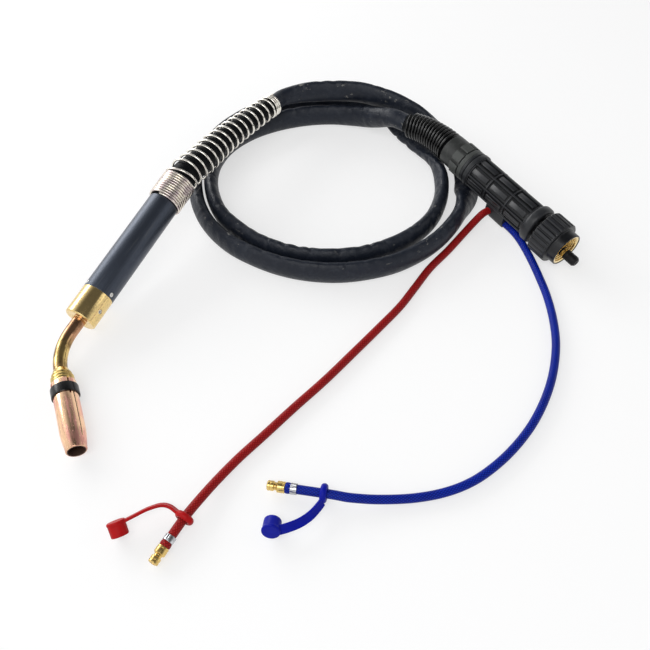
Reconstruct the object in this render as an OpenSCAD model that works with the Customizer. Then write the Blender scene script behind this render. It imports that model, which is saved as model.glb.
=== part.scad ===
// Water-cooled MIG welding torch with a straight tube handle, laid out ready for use.
// The torch end and the connector end are rigid; the oval sheath runs between them in two loops.

/* [Gas nozzle] */
// Length of the gas nozzle
nozzle_length = 80; // [60:1:95]
// Outer diameter of the gas nozzle
nozzle_od = 25; // [22:0.5:27]
// Wall of the gas nozzle
nozzle_wall = 2; // [1.2:0.1:2.6]
// Outer diameter at the mouth
nozzle_mouth_od = 20.6; // [18:0.2:22]
// Length of the tapered front
nozzle_taper_length = 22; // [12:1:30]
// Width of the black retaining band
band_width = 11; // [8:1:18]
// Thickness of the retaining band
band_wall = 1.5; // [0.8:0.1:2.5]
// Distance from the back edge of the nozzle to the band
band_setback = 6; // [1:0.5:8]
// How far the nozzle pulls off along its axis
nozzle_pull = 70; // [40:1:80]

/* [Contact tip] */
// Outer diameter of the contact tip
tip_od = 10; // [8:0.5:11]
// Distance from the nozzle mouth back to the end of the tip
tip_recess = 9; // [5:0.5:14]
// Bore of the contact tip for the wire
tip_bore = 1.6; // [0.8:0.1:2.4]
// Outer diameter of the tip holder
holder_od = 12; // [11:0.5:13]
// Outer diameter of the gas diffuser
diffuser_od = 18; // [16:0.5:19]
// Running clearance of parts that slide on each other
slide_gap = 0.08; // [0.04:0.01:0.1]

/* [Neck] */
// Outer diameter of the neck tube
neck_od = 14.4; // [12:0.2:16]
// Bend of the neck
neck_angle = 48; // [30:1:60]
// Radius of the bend, to the middle of the tube
neck_radius = 58; // [45:1:75]
// Straight length between the collar and the bend
neck_straight = 15; // [8:1:25]
// Outer diameter of the wire liner inside the neck
liner_od = 5; // [4:0.2:6]

/* [Handle] */
// Outer diameter of the handle tube and the front collar
handle_od = 35; // [30:0.5:40]
// Wall of the handle tube
handle_wall = 2; // [1.5:0.1:4]
// Length of the brass front collar
collar_length = 34; // [24:1:44]
// Length of the handle tube in front of the spring
handle_length = 131; // [90:1:180]

/* [Kink spring] */
// Wire of the steel spring behind the handle
spring_wire = 2.4; // [1.8:0.1:2.6]
// Pitch of the close-wound turns
close_pitch = 3.1; // [3:0.05:3.3]
// Close-wound turns on the handle tube
close_turns = 10.5; // [8:0.5:12]
// Open turns of the spring
open_turns = 16; // [12:1:18]
// Close-wound turns at the rear end
end_turns = 3.5; // [2:0.5:5]
// Outer diameter at the rear end
spring_end_od = 27.6; // [26:0.2:30]

/* [Connector] */
// Outer diameter of the fluted union nut
nut_od = 51.5; // [49:0.5:52]
// Length of the fluted part of the nut
nut_grip_length = 25; // [20:1:28]
// Outer diameter of the smooth front ring of the nut
nut_ring_od = 41; // [40:0.5:44]
// Length of the smooth front ring
nut_ring_length = 11; // [8:0.5:14]
// Thread bore of the brass insert in the nut
nut_bore = 33; // [32:0.5:34]
// Number of flutes round the nut
nut_flutes = 24; // [16:1:28]
// Outer diameter of the housing over its ribs
housing_od = 42; // [40:0.5:44]
// Length of the ribbed housing
housing_length = 93; // [80:1:110]
// Lengthwise ribs round the housing
housing_ribs = 8; // [6:2:10]
// Outer diameter of the flange ring in front of the housing
flange_od = 46.5; // [44:0.5:48]
// Outer diameter of the gland nut behind the housing
gland_od = 41.5; // [39:0.5:43]
// Length of the gland nut
gland_length = 37; // [30:1:40]
// Outer diameter of the central plug tube
plug_tube_od = 10; // [9:0.2:11]
// Distance of the plug tube below the centre line
plug_tube_drop = 5; // [4:0.5:6]
// Travel of the spring-loaded signal pins
signal_pin_travel = 3; // [1:0.5:4]
// Wire of the black bend spring behind the gland
bend_wire = 3; // [2:0.1:3.2]
// Turns of the bend spring
bend_turns = 14; // [10:1:15]
// Length of the plug cap
plug_cap_length = 16; // [12:1:20]

/* [Water hoses] */
// Outer diameter of the water hoses
water_od = 8.8; // [8:0.1:9]
// Length of the brass hose couplings
coupling_length = 17; // [16:0.5:22]
// Outer diameter of the coupling body
coupling_od = 11; // [10.6:0.2:12]
// Outer diameter of the coupling tip
coupling_tip_od = 9.6; // [9:0.1:10]
// Width of the steel ear clamps
clamp_width = 6; // [5:0.5:8]

/* [Sheath] */
// Narrow width of the oval sheath
sheath_width = 17; // [14:0.5:17]
// Tall width of the oval sheath
sheath_height = 30; // [26:0.5:30]

/* [Hidden] */

// ---- Places of the two rigid ends: a point, then roll, pitch and heading of the forward axis ----
torch_at = [-262.5, -95.5, 22.1];
torch_turn = [8.3, 10.3, 242.6];
plug_at = [266, 1.5, 25.1];
plug_turn = [0, 5, 307];

// ---- Where the water hoses leave the block under the housing, in the plug's own frame ----
outlet_front_x = -80;
outlet_back_x = -108.5;
outlet_half = 19;
outlet_z = -16.5;
red_exit_x = -103;
blue_exit_y = -11;
blue_exit_z = -23.6;

// ---- Routes, by hand: x, y, z and, on the oval sheath, how far it leans from standing on edge ----
torch_boot_route = [for (p = [[-237.88, 1.76, -6.04], [-277.33, 2.31, -14.91], [-312.72, 4.86, -23.83],
    [-346.98, 8.57, -33.24], [-380.84, 12.71, -43.14]]) torch_point(p)];
plug_boot_route = [for (p = [[-236.96, -3.56, -1.76], [-263.39, -12.3, -5.08]]) plug_point(p)];
// The point k times as far past the end of a boot as its last two points are apart
function past(route, k) =
    let (n = len(route) - 1, p = route[n] + k * (route[n] - route[n - 1])) [p[0], p[1], p[2], 0];
main_route = [past(torch_boot_route, 0), past(torch_boot_route, 0.506), [-36, 260, 47.5, 0],
    [-10, 265, 46.5, 0],
    [16, 266.5, 46, 0], [41, 264.5, 45.5, 0], [63, 258, 44, 0], [83, 251, 40.5, 0], [102, 244, 34, 0],
        [125, 236, 25, 20],
    [145, 219, 17, 45], [160, 198, 11, 70], [169, 172, 8.9, 85], [171, 142, 8.6, 90], [168, 116, 8.9, 86],
    [163, 93, 13.2, 40], [154, 70, 15.2, 0], [142, 49.5, 15.2, 0], [125.5, 28.5, 15.2, 0], [104, 9, 15.2, 0],
    [76, -8, 15.2, 0], [45, -18, 15.2, 0], [12, -23, 15.2, 0], [-22, -21, 15.2, 0], [-56, -12, 15.2, 0],
    [-89, 4, 15.2, 0], [-116, 23, 15.2, 0], [-139, 50, 15.2, 0], [-154, 80, 15.2, 0],
    [-162, 111, 15.2, 0], [-165, 143, 15.2, 0], [-159, 176, 15.2, 0], [-146, 207, 15.2, 0],
    [-127, 234, 15.2, 0], [-99, 259, 15.2, 0], [-62, 276, 15.2, 0], [-21, 283, 15.2, 0],
    [20, 282, 15.2, 0], [54, 273, 14.9, 15], [78, 256, 11.6, 55], [96, 236, 9, 90], [111, 213, 9, 90],
    [124, 191, 9.6, 75], [134, 164, 13.3, 40], [138, 134, 15.2, 0], [136, 105, 15.2, 0],
    [129, 80, 15.2, 0], [118, 58, 15.2, 0], [101, 38, 15.2, 0], [78, 20, 15.2, 0], [48, 6, 15.2, 0],
    [16, -1, 15.2, 0], [-17, -1, 15.2, 0], [-50, 7, 15.2, 0], [-79, 21, 15.2, 0], [-105, 42, 15.2, 0],
    [-126, 67, 15.2, 0], [-139, 97, 15.2, 0], [-145, 130, 15.2, 0], [-142, 164, 15.2, 0],
    [-128, 197, 15.2, 0], [-102, 224, 15.2, 0], [-69, 243, 15.2, 0], [-33, 254, 15.2, 0],
    [2, 257, 15.6, 0], [33, 249, 20, 0], [58, 233, 30, 0], past(plug_boot_route, 0.75),
    past(plug_boot_route, 0)];
red_route = [plug_point([red_exit_x, -outlet_half, outlet_z]),
    plug_point([red_exit_x, -outlet_half - 9, outlet_z]), [172.5, 60.6, 13.6], [156, 43.5, 7.3],
        [137, 20.5, 4.6],
    [114, -7, 4.6], [95, -36, 4.6], [77, -63, 4.6], [54, -91, 4.6], [26, -124, 4.6], [-5, -160, 4.6],
    [-35, -192, 4.6], [-63, -223, 4.6], [-86, -248, 4.7], [-104, -271, 6.2], [-118, -292, 9.2],
    [-131, -312, 9.9], [-146.3, -338.1, 7.7]];
blue_route = [plug_point([outlet_front_x, blue_exit_y, blue_exit_z]),
    plug_point([outlet_front_x + 8, blue_exit_y, blue_exit_z]), [219, 43, 7.3], [225, 29, 5.7],
        [231, 7, 4.6],
    [236, -20, 4.6], [240, -49, 4.6], [241, -82, 4.6], [238, -115, 4.6], [229, -150, 4.6],
    [216, -181, 4.6], [199, -210, 4.6], [179, -235, 4.6], [157, -256, 4.6], [133, -273, 4.6],
    [107, -284, 4.6], [78, -290, 4.7], [46, -292.5, 6.5], [19, -292.2, 9.4], [0, -289, 10],
    [-41.5, -281.5, 8.3]];
red_strap_route = [[-184.5, -317, 13.5], [-174, -311, 14], [-164, -305, 13.5], [-153, -301, 13],
    [-145, -302, 12.3],
    [-137.3, -307.2, 11.5]];
blue_strap_route = [[-48, -325, 12], [-37, -321.5, 11.5], [-26.5, -316.5, 11], [-17.5, -309.5, 10.5],
    [-10.5, -301, 10], [-7.5, -296.5, 10]];

// ---- Sizes worked out from the ones above ----
round_facets = 72;
arc_end_x = neck_straight + neck_radius * sin(neck_angle);
arc_end_y = neck_radius * (1 - cos(neck_angle));
nose_cone_length = 5;
nose_step_length = 4;
nose_ring_length = 7.6;
nozzle_back_x = nose_cone_length + nose_step_length + nose_ring_length;
nozzle_front_x = nozzle_back_x + nozzle_length;
nozzle_bore_od = nozzle_od - 2 * nozzle_wall;
mouth_bore_od = nozzle_mouth_od - 2 * nozzle_wall - 0.6;
insulator_length = 24;
insulator_od = nozzle_bore_od - 2 * slide_gap;
diffuser_length = 16;
tip_front_x = nozzle_front_x - tip_recess;
tip_length = 28;
liner_gap = 0.4;
bush_length = 26;
bush_front_x = -collar_length - handle_length + bush_length;
handle_rear_x = -collar_length - handle_length;
spring_seat_length = close_turns * close_pitch;
coil_sides = 8;
spring_start_od = handle_od + 5;
spring_start_radius = (spring_start_od - spring_wire) / 2;
spring_end_radius = (spring_end_od - spring_wire) / 2;
boot_gap = 0.4;
press = 0.08;
// Room left inside a coil whose wire centre runs at radius r: its straight steps cut in a little
function coil_bore(r, wire) = (r - wire / 2) * cos(180 / coil_sides);
torch_boot_end_radius = coil_bore(spring_end_radius, spring_wire) - boot_gap;
nut_length = nut_grip_length + nut_ring_length;
flange_back_x = -(nut_length + 17);
housing_back_x = flange_back_x - housing_length;
lock_ring_length = 11;
gland_front_x = housing_back_x - lock_ring_length;
gland_back_x = gland_front_x - gland_length;
gland_back_radius = gland_od / 2 - 1.8;
bend_front_radius = gland_back_radius - bend_wire / 2;
bend_end_radius = 14.4;
bend_start = bend_wire * 0.4;
plug_boot_end_radius = coil_bore(bend_end_radius, bend_wire) - boot_gap;
carrier_od = 27;
carrier_front_x = -14;
neck_bore_od = carrier_od + 1.4;
signal_pin_od = 3;
hose_flat_run = 70;

function unit(v) = v / norm(v);
// Turns a point of the plug's own frame into the world
function turned_by(a, v) =
    let (r = [v[0], v[1] * cos(a[0]) - v[2] * sin(a[0]), v[1] * sin(a[0]) + v[2] * cos(a[0])],
         p = [r[0] * cos(a[1]) + r[2] * sin(a[1]), r[1], -r[0] * sin(a[1]) + r[2] * cos(a[1])])
    [p[0] * cos(a[2]) - p[1] * sin(a[2]), p[0] * sin(a[2]) + p[1] * cos(a[2]), p[2]];
function torch_point(v) = torch_at + turned_by(torch_turn, v);
function plug_point(v) = plug_at + turned_by(plug_turn, v);

// Point number u, counted in whole points and parts, of the smooth curve through the points p
function curve(p, u) =
    let (n = len(p) - 1, i = max(0, min(floor(u), n - 1)), t = u - i,
         a = i > 0 ? p[i - 1] : 2 * p[0] - p[1], b = p[i], c = p[i + 1],
         d = i + 2 <= n ? p[i + 2] : 2 * p[n] - p[n - 1])
    (2 * b + (c - a) * t + (2 * a - 5 * b + 4 * c - d) * t * t + (3 * b - a - 3 * c + d) * t * t * t) / 2;
function xyz(v) = [v[0], v[1], v[2]];
function tangent(p, u) = unit(xyz(curve(p, u + 0.01)) - xyz(curve(p, u - 0.01)));
// Length along the curve against u, as a table for lookup
function length_table(p, steps) =
    let (n = len(p) - 1)
    [for (i = 0, s = 0; i <= steps;
          s = s + norm(xyz(curve(p, (i + 1) * n / steps)) - xyz(curve(p, i * n / steps))), i = i + 1)
        [s, i * n / steps]];
// A ring of points round the curve: a across, b upward, lean turns it about the curve
function oval_ring(c, t, a, b, lean, sides) =
    let (up = unit([0, 0, 1] - t * t[2]), side = cross(t, up),
         u = up * cos(lean) + side * sin(lean), s = side * cos(lean) - up * sin(lean))
    [for (k = [0:sides - 1]) c + s * a * cos(360 * k / sides) - u * b * sin(360 * k / sides)];
function smooth(x) = let (k = max(0, min(1, x))) k * k * (3 - 2 * k);

// Closed skin over a list of rings that have the same number of points
module skin(rings) {
    n = len(rings);
    m = len(rings[0]);
    polyhedron(
        points = [for (ring = rings, p = ring) p],
        faces = concat(
            [for (k = [1:m - 2]) [0, k, k + 1]],
            [for (k = [1:m - 2]) [(n - 1) * m, (n - 1) * m + k + 1, (n - 1) * m + k]],
            [for (i = [0:n - 2], k = [0:m - 1]) [i * m + k, (i + 1) * m + k, (i + 1) * m + (k + 1) % m]],
            [for (i = [0:n - 2], k = [0:m - 1]) [i * m + k, (i + 1) * m + (k + 1) % m,
                i * m + (k + 1) % m]]));
}

module at_torch() { translate(torch_at) rotate(torch_turn) children(); }
module at_nozzle() { at_torch() translate([arc_end_x, arc_end_y, 0]) rotate([0, 0, neck_angle]) children(); }
module at_plug() { translate(plug_at) rotate(plug_turn) children(); }
// A turned piece lying along x: each point is a radius and a place along x
module turned(outline) { rotate([0, 90, 0]) rotate_extrude($fn = round_facets) polygon(outline); }
// Copies set round the x axis
module ring_of(n) { for (i = [0:n - 1]) rotate([i * 360 / n, 0, 0]) children(); }

// ==== Torch end ====
module gas_nozzle() {
    r = nozzle_od / 2;
    bore = nozzle_bore_od / 2;
    mouth = nozzle_mouth_od / 2;
    mouth_bore = mouth_bore_od / 2;
    taper_x = nozzle_front_x - nozzle_taper_length;
    slot_length = band_setback + band_width + 3;
    color("peru") at_nozzle() difference() {
        turned([[bore, nozzle_back_x], [r, nozzle_back_x], [r, taper_x],
            [r - 0.9, taper_x + 0.45 * nozzle_taper_length],
            [mouth, nozzle_front_x - 1], [mouth - 0.8, nozzle_front_x], [mouth_bore, nozzle_front_x],
            [mouth_bore, nozzle_front_x - 6], [bore, taper_x]]);
        for (turn = [45:90:315])
            rotate([turn, 0, 0]) translate([nozzle_back_x - 1, -0.9, bore - 1])
                cube([slot_length + 1, 1.8, r]);
    }
}
module nozzle_band() {
    x = nozzle_back_x + band_setback;
    r = nozzle_od / 2;
    color("#1c1c1e") at_nozzle() turned([[r, x], [r + band_wall - 0.4, x], [r + band_wall, x + 0.6],
        [r + band_wall, x + band_width - 0.6], [r + band_wall - 0.4, x + band_width], [r, x + band_width]]);
}
module contact_tip() {
    r = tip_od / 2;
    x = tip_front_x - tip_length;
    color("#b5563a") at_nozzle() turned([[tip_bore / 2, x], [r, x], [r, tip_front_x - 6],
        [r - 1.6, tip_front_x],
        [tip_bore / 2 + 0.4, tip_front_x], [tip_bore / 2, tip_front_x - 0.6]]);
}
module tip_holder() {
    r = holder_od / 2;
    front = tip_front_x - tip_length;
    back = nozzle_back_x + 12;
    color("goldenrod") at_nozzle() difference() {
        turned([[tip_bore, back], [r, back], [r, front - 8], [r - 0.6, front], [tip_bore, front]]);
        for (side = [-1, 1])
            translate([front - 8, -r, side > 0 ? r - 1 : -r - 1]) cube([5, 2 * r, 2]);
    }
}
module gas_diffuser() {
    r = diffuser_od / 2;
    front = nozzle_back_x + insulator_length + diffuser_length;
    back = nozzle_back_x + insulator_length;
    color("ivory") at_nozzle() difference() {
        turned([[holder_od / 2, back], [r, back], [r, front - 1], [r - 1, front], [holder_od / 2, front]]);
        ring_of(6) translate([back + diffuser_length * 0.6, 0, holder_od / 2 - 1])
            cylinder(d = 2, h = r, $fn = 24);
    }
}
module nozzle_insulator() {
    front = nozzle_back_x + insulator_length;
    color("#7d2d23") at_nozzle() difference() {
        turned([[7.2, nozzle_back_x], [insulator_od / 2, nozzle_back_x], [insulator_od / 2, front - 1],
            [insulator_od / 2 - 1, front], [7.2, front]]);
        for (x = [nozzle_back_x + 5:4.5:front - 4])
            translate([x, 0, 0]) turned([[insulator_od / 2 - 0.7, 0], [insulator_od / 2 + 1, 0],
                [insulator_od / 2 + 1, 1.4], [insulator_od / 2 - 0.7, 1.4]]);
    }
}
module neck_nose() {
    color("darkgoldenrod") at_nozzle() turned([[liner_od / 2 + liner_gap, 0], [neck_od / 2 + 0.6, 0],
        [neck_od / 2 + 2.2, nose_cone_length], [nozzle_od / 2 - 2.2, nose_cone_length + 1],
        [nozzle_od / 2 - 2.2, nose_cone_length + nose_step_length],
        [nozzle_od / 2 - 0.8, nose_cone_length + nose_step_length + 0.8],
        [nozzle_od / 2 - 0.8, nozzle_back_x - 1], [nozzle_od / 2 - 1.6, nozzle_back_x],
        [7.2, nozzle_back_x], [7.2, nozzle_back_x + 12], [liner_od / 2 + liner_gap, nozzle_back_x + 12]]);
}
module neck_arc(outer, inner) {
    translate([neck_straight, neck_radius, 0]) rotate([0, 0, -90])
        rotate_extrude(angle = neck_angle, $fn = 96)
        translate([neck_radius, 0]) difference() {
            circle(r = outer, $fn = 48);
            if (inner > 0) circle(r = inner, $fn = 48);
        }
}
module neck_tube() {
    r = neck_od / 2;
    bore = liner_od / 2 + liner_gap;
    color("#b08d4f") at_torch() union() {
        neck_arc(r, bore);
        turned([[bore, -collar_length], [r, -collar_length], [r, neck_straight], [bore, neck_straight]]);
    }
}
// Points along the middle of the neck: straight, round the bend, and straight into the nozzle
function neck_line() = concat([[bush_front_x, 0, 0], [0, 0, 0]],
    [for (a = [0:6:neck_angle]) [neck_straight + neck_radius * sin(a), neck_radius * (1 - cos(a)), 0]],
    [[arc_end_x, arc_end_y, 0] + (nozzle_back_x + 11.5) * [cos(neck_angle), sin(neck_angle), 0]]);
module wire_liner() {
    line = neck_line();
    n = len(line) - 1;
    color("silver") at_torch() skin([for (i = [0:n])
        oval_ring(line[i], unit(line[min(n, i + 1)] - line[max(0, i - 1)]), liner_od / 2, liner_od / 2,
            0, 8)]);
}
module front_collar() {
    r = handle_od / 2;
    color("#c9a85a") at_torch() difference() {
        turned([[neck_od / 2, -collar_length], [r, -collar_length], [r, -1.2], [r - 1.2, 0],
            [neck_od / 2, 0]]);
        at_grub_screws() cylinder(d = grub_od, h = r, $fn = 32);
    }
}
grub_turn = -86;
grub_od = 5;
// Two grub screws, one opposite the other, clamp the collar on the neck
module at_grub_screws() {
    ring_of(2) rotate([grub_turn, 0, 0]) translate([-16, 0, neck_od / 2]) children();
}
module collar_grub_screws() {
    length = handle_od / 2 - neck_od / 2 - 0.9;
    color("#2b2b2e") at_torch() at_grub_screws() difference() {
        cylinder(d = grub_od, h = length, $fn = 32);
        translate([0, 0, length - 2.6]) cylinder(d = 2.9, h = 4, $fn = 6);
    }
}
module handle_tube() {
    r = handle_od / 2;
    color("#3b4252") at_torch() difference() {
        turned([[r - handle_wall, handle_rear_x], [r, handle_rear_x], [r, -collar_length],
            [r - handle_wall, -collar_length]]);
        at_tube_screws() sunk_screw(1);
    }
}
tube_screw_turn = -84;
tube_screw_od = 3.2;
tube_screw_length = handle_wall + 5;
tube_head_od = 5.4;
tube_head_depth = 1.3;
// Three countersunk screws hold the tube on the neck block, their heads flush with its surface
module at_tube_screws() {
    ring_of(3) rotate([tube_screw_turn, 0, 0]) translate([-collar_length - 4, 0,
        handle_od / 2 - tube_screw_length]) children();
}
// A countersunk screw, or with room above it the hole it sits in
module sunk_screw(room) {
    cylinder(d = tube_screw_od, h = tube_screw_length - 0.4 + room, $fn = 24);
    translate([0, 0, tube_screw_length - 0.4 - tube_head_depth])
        cylinder(d1 = tube_screw_od, d2 = tube_head_od, h = tube_head_depth, $fn = 32);
    if (room > 0)
        translate([0, 0, tube_screw_length - 0.4]) cylinder(d = tube_head_od, h = room, $fn = 32);
}
module tube_screws() {
    color("silver") at_torch() at_tube_screws() sunk_screw(0);
}
neck_block_length = 30;
module neck_block() {
    r = handle_od / 2 - handle_wall;
    back = -collar_length - neck_block_length;
    step = back + 0.4 * neck_block_length;
    color("#b9974f") at_torch() difference() {
        turned([[liner_od / 2 + liner_gap, back], [r - 2, back], [r - 2, step], [r, step],
            [r, -collar_length],
            [liner_od / 2 + liner_gap, -collar_length]]);
        at_tube_screws() sunk_screw(1);
    }
}
module tube_bush() {
    r = handle_od / 2 - handle_wall;
    seat = coil_bore(spring_start_radius, spring_wire) + press;
    back = handle_rear_x - spring_seat_length;
    color("#202124") at_torch() turned([[0, back], [seat, back], [seat, handle_rear_x], [r, handle_rear_x],
        [r, bush_front_x], [0, bush_front_x]]);
}

// ---- Spring and boot behind the handle share one bent axis ----
torch_axis = concat([for (back = [0, spring_seat_length, spring_seat_length + 14])
    torch_point([handle_rear_x - back, 0, 0])], torch_boot_route);
plug_axis = concat([plug_point([gland_back_x, 0, 0]), plug_point([gland_back_x - 16, 0, 0])],
    plug_boot_route);

// Rings of wire wound round an axis: the step table gives the length reached at each turn
function coil_rings(axis, table, turns, wire, radii, step) =
    [for (i = [0:turns * coil_sides])
        let (s = lookup(i / coil_sides, step), phase = i * 360 / coil_sides,
             u = lookup(s, table), c = curve(axis, u), t = tangent(axis, u),
             up = unit([0, 0, 1] - t * t[2]), side = cross(t, up),
             out = up * cos(phase) + side * sin(phase),
             r = lookup(s, radii))
        [for (k = [0:5]) c + out * (r + wire / 2 * cos(60 * k)) - t * wire / 2 * sin(60 * k)]];
// Least gap between one turn and the next, measured from wire centre to wire centre
function coil_gap(rings, wire) =
    let (mid = [for (r = rings) (r[0] + r[1] + r[2] + r[3] + r[4] + r[5]) / 6])
    min([for (i = [0:len(mid) - 11], j = [i + 6:i + 10]) norm(mid[i] - mid[j])]) - wire;

torch_table = length_table(torch_axis, 120);
torch_axis_length = torch_table[120][0];
spring_turns = close_turns + open_turns + end_turns;
spring_inset = spring_wire * 0.45;
spring_radii = [[0, spring_start_radius], [spring_seat_length, spring_start_radius],
    [torch_axis_length, spring_end_radius]];
spring_step = [[0, spring_inset], [close_turns, spring_inset + spring_seat_length],
    [close_turns + open_turns, torch_axis_length - spring_inset - end_turns * close_pitch],
    [spring_turns, torch_axis_length - spring_inset]];
spring_rings = coil_rings(torch_axis, torch_table, spring_turns, spring_wire, spring_radii, spring_step);
module kink_spring() {
    echo(str("kink_spring least gap ", coil_gap(spring_rings, spring_wire)));
    color("#b8b5a8") skin(spring_rings);
}
// A sleeve inside a coil: it follows the axis from length a to length b and stays clear of the wire
function sleeve_rings(axis, table, a, b, steps, radii, wire) =
    [for (i = [0:steps]) let (s = a + (b - a) * i / steps, u = lookup(s, table),
        r = coil_bore(lookup(s, radii), wire) - boot_gap)
        oval_ring(curve(axis, u), tangent(axis, u), r, r, 0, 20)];
module torch_boot() {
    color("#151517") skin(sleeve_rings(torch_axis, torch_table, spring_seat_length, torch_axis_length, 14,
        spring_radii, spring_wire));
}

// ==== Cords ====
hose_sides = 12;
hose_rings = 76;
main_table = length_table(main_route, 240);
main_length = main_table[240][0];
function hose_ring(s) =
    let (u = lookup(s, main_table), p = curve(main_route, u),
         k = smooth(min(s, main_length - s) / hose_flat_run),
         end = s < main_length / 2 ? torch_boot_end_radius : plug_boot_end_radius,
         a = end * (1 - k) + sheath_width / 2 * k,
         b = end * (1 - k) + sheath_height / 2 * k)
    oval_ring(xyz(p), tangent(main_route, u), a, b, p[3], hose_sides);
// Points down the middle of the sheath, with the axes of its oval, to measure how near it comes to itself
hose_probe = [for (i = [0:260])
    let (s = main_length * i / 260, u = lookup(s, main_table), p = curve(main_route, u),
        t = tangent(main_route, u),
         up = unit([0, 0, 1] - t * t[2]), side = cross(t, up))
    [xyz(p), up * cos(p[3]) + side * sin(p[3]), side * cos(p[3]) - up * sin(p[3])]];
// Half the oval's extent along the direction e
function hose_reach(q, e) =
    sqrt(pow(sheath_height / 2 * (q[1] * e), 2) + pow(sheath_width / 2 * (q[2] * e), 2));
function hose_gap(q) =
    min([for (i = [0:len(q) - 12], j = [i + 11:len(q) - 1])
        let (v = q[j][0] - q[i][0], d = norm(v))
        d > 2 * sheath_height ? d : d - hose_reach(q[i], v / d) - hose_reach(q[j], v / d)]);
module main_hose() {
    echo(str("main_hose least gap to itself ", hose_gap(hose_probe)));
    color("#23252b") skin([for (i = [0:hose_rings]) hose_ring(main_length * i / hose_rings)]);
}
water_sides = 8;
// A water hose with its swollen end past the clamp
module water_hose(route, rings) {
    n = len(route) - 1;
    table = length_table(route, 120);
    length = table[120][0];
    r = water_od / 2;
    skin(concat([for (i = [0:rings]) let (u = lookup((length - 5.5) * i / rings, table))
            oval_ring(curve(route, u), tangent(route, u), r, r, 0, water_sides)],
        [for (e = [[4.4, 0.9], [1, 0.9], [0, 0.3]]) let (u = lookup(length - e[0], table))
            oval_ring(curve(route, u), tangent(route, u), r + e[1], r + e[1], 0, water_sides)]));
}
module red_hose() { color("#9b1c1f") water_hose(red_route, 22); }
module blue_hose() { color("#1420a0") water_hose(blue_route, 24); }

// Sets children at the end of a route, x pointing out of it, or a distance back from the end
module at_route_end(route, back) {
    n = len(route) - 1;
    d = unit(route[n] - route[n - 1]);
    translate(route[n] - d * back) rotate([0, -asin(d[2]), atan2(d[1], d[0])]) children();
}
module ear_clamp(route) {
    r = water_od / 2 + 0.15;
    color("silver") at_route_end(route, 5 + clamp_width) difference() {
        union() {
            turned([[r, 0], [r + 0.8, 0], [r + 0.8, clamp_width], [r, clamp_width]]);
            translate([0, -1.6, r + 0.3]) cube([clamp_width, 3.2, 1.7]);
        }
        translate([-1, 0, 0]) turned([[0, 0], [r, 0], [r, clamp_width + 2], [0, clamp_width + 2]]);
    }
}
module red_clamp() { ear_clamp(red_route); }
module blue_clamp() { ear_clamp(blue_route); }
module coupling(route) {
    r = coupling_od / 2;
    tip = coupling_tip_od / 2;
    groove = tip - 1.1;
    body = coupling_length - 8.5;
    color("#c8a040") at_route_end(route, 0) turned([[0, 0], [r - 0.6, 0], [r, 0.6], [r, body - 1.4],
        [groove, body - 0.2],
        [groove, body + 1.6], [tip - 0.4, body + 2.1], [tip, body + 2.5], [tip, coupling_length - 0.8],
        [tip - 0.8, coupling_length],
        [2.6, coupling_length], [2.6, body + 2], [0, body + 2]]);
}
module red_coupling() { coupling(red_route); }
module blue_coupling() { coupling(blue_route); }

// A rubber dust cap: a ring loose on the hose, a flat strap, and a cup that fits the coupling
red_ring_back = 30.5;
blue_ring_back = 36;
cap_ring_width = 6.6;
cap_ring_gap = 0.4;
cap_ring_wall = 4.6;
module cap_ring(route, ring_back) {
    bore = water_od / 2 + cap_ring_gap;
    r = bore + cap_ring_wall;
    half = cap_ring_width / 2;
    at_route_end(route, ring_back) turned([[bore, -half + 1], [bore + 1, -half], [r - 1.8, -half],
        [r, -half + 1.8],
        [r, half - 1.8], [r - 1.8, half], [bore + 1, half], [bore, half - 1]]);
}
cup_length = 14;
cup_bore = coupling_od + 0.3;
cup_od = 16.6;
// The cup opens along its own x, from the middle of its closed end
module cup() {
    r = cup_od / 2;
    bore = cup_bore / 2;
    turned([[0, 0], [r - 0.6, 0], [r + 0.5, 0.8], [r + 0.5, 2.6], [r, 3.2], [r, cup_length - 0.6],
        [r - 0.6, cup_length],
        [bore, cup_length], [bore, 3], [0, 3]]);
}
// A strap lying with its width along a given direction
module strap(route, width, thickness, along) {
    n = len(route) - 1;
    steps = 3 * n;
    skin([for (i = [0:steps]) let (u = i * n / steps, t = tangent(route, u),
        w = unit(along - t * (along * t)),
        h = cross(t, w), c = curve(route, u))
        [for (k = [0:7])
            c + w * width / 2 * strap_section[k][0] + h * thickness / 2 * strap_section[k][1]]]);
}
strap_section = [[1, 0.5], [0.9, 1], [-0.9, 1], [-1, 0.5], [-1, -0.5], [-0.9, -1], [0.9, -1], [1, -0.5]];
strap_width = 9;
module red_dust_cap() {
    color("#b3161b") {
        cap_ring(red_route, red_ring_back);
        strap(red_strap_route, strap_width, 3, [0, -0.62, 0.79]);
        translate(red_cup_at) rotate([0, red_cup_pitch, red_cup_heading]) cup();
    }
}
module blue_dust_cap() {
    color("#1626b4") {
        cap_ring(blue_route, blue_ring_back);
        strap(blue_strap_route, strap_width, 3, [0, 0.79, 0.62]);
        translate(blue_cup_at) rotate([0, blue_cup_pitch, blue_cup_heading]) cup();
    }
}
red_cup_at = [-190.9, -317.3, 15.2];
red_cup_pitch = 35;
red_cup_heading = -66;
blue_cup_at = [-53, -327, 12.6];
blue_cup_pitch = 18;
blue_cup_heading = 84;

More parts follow.
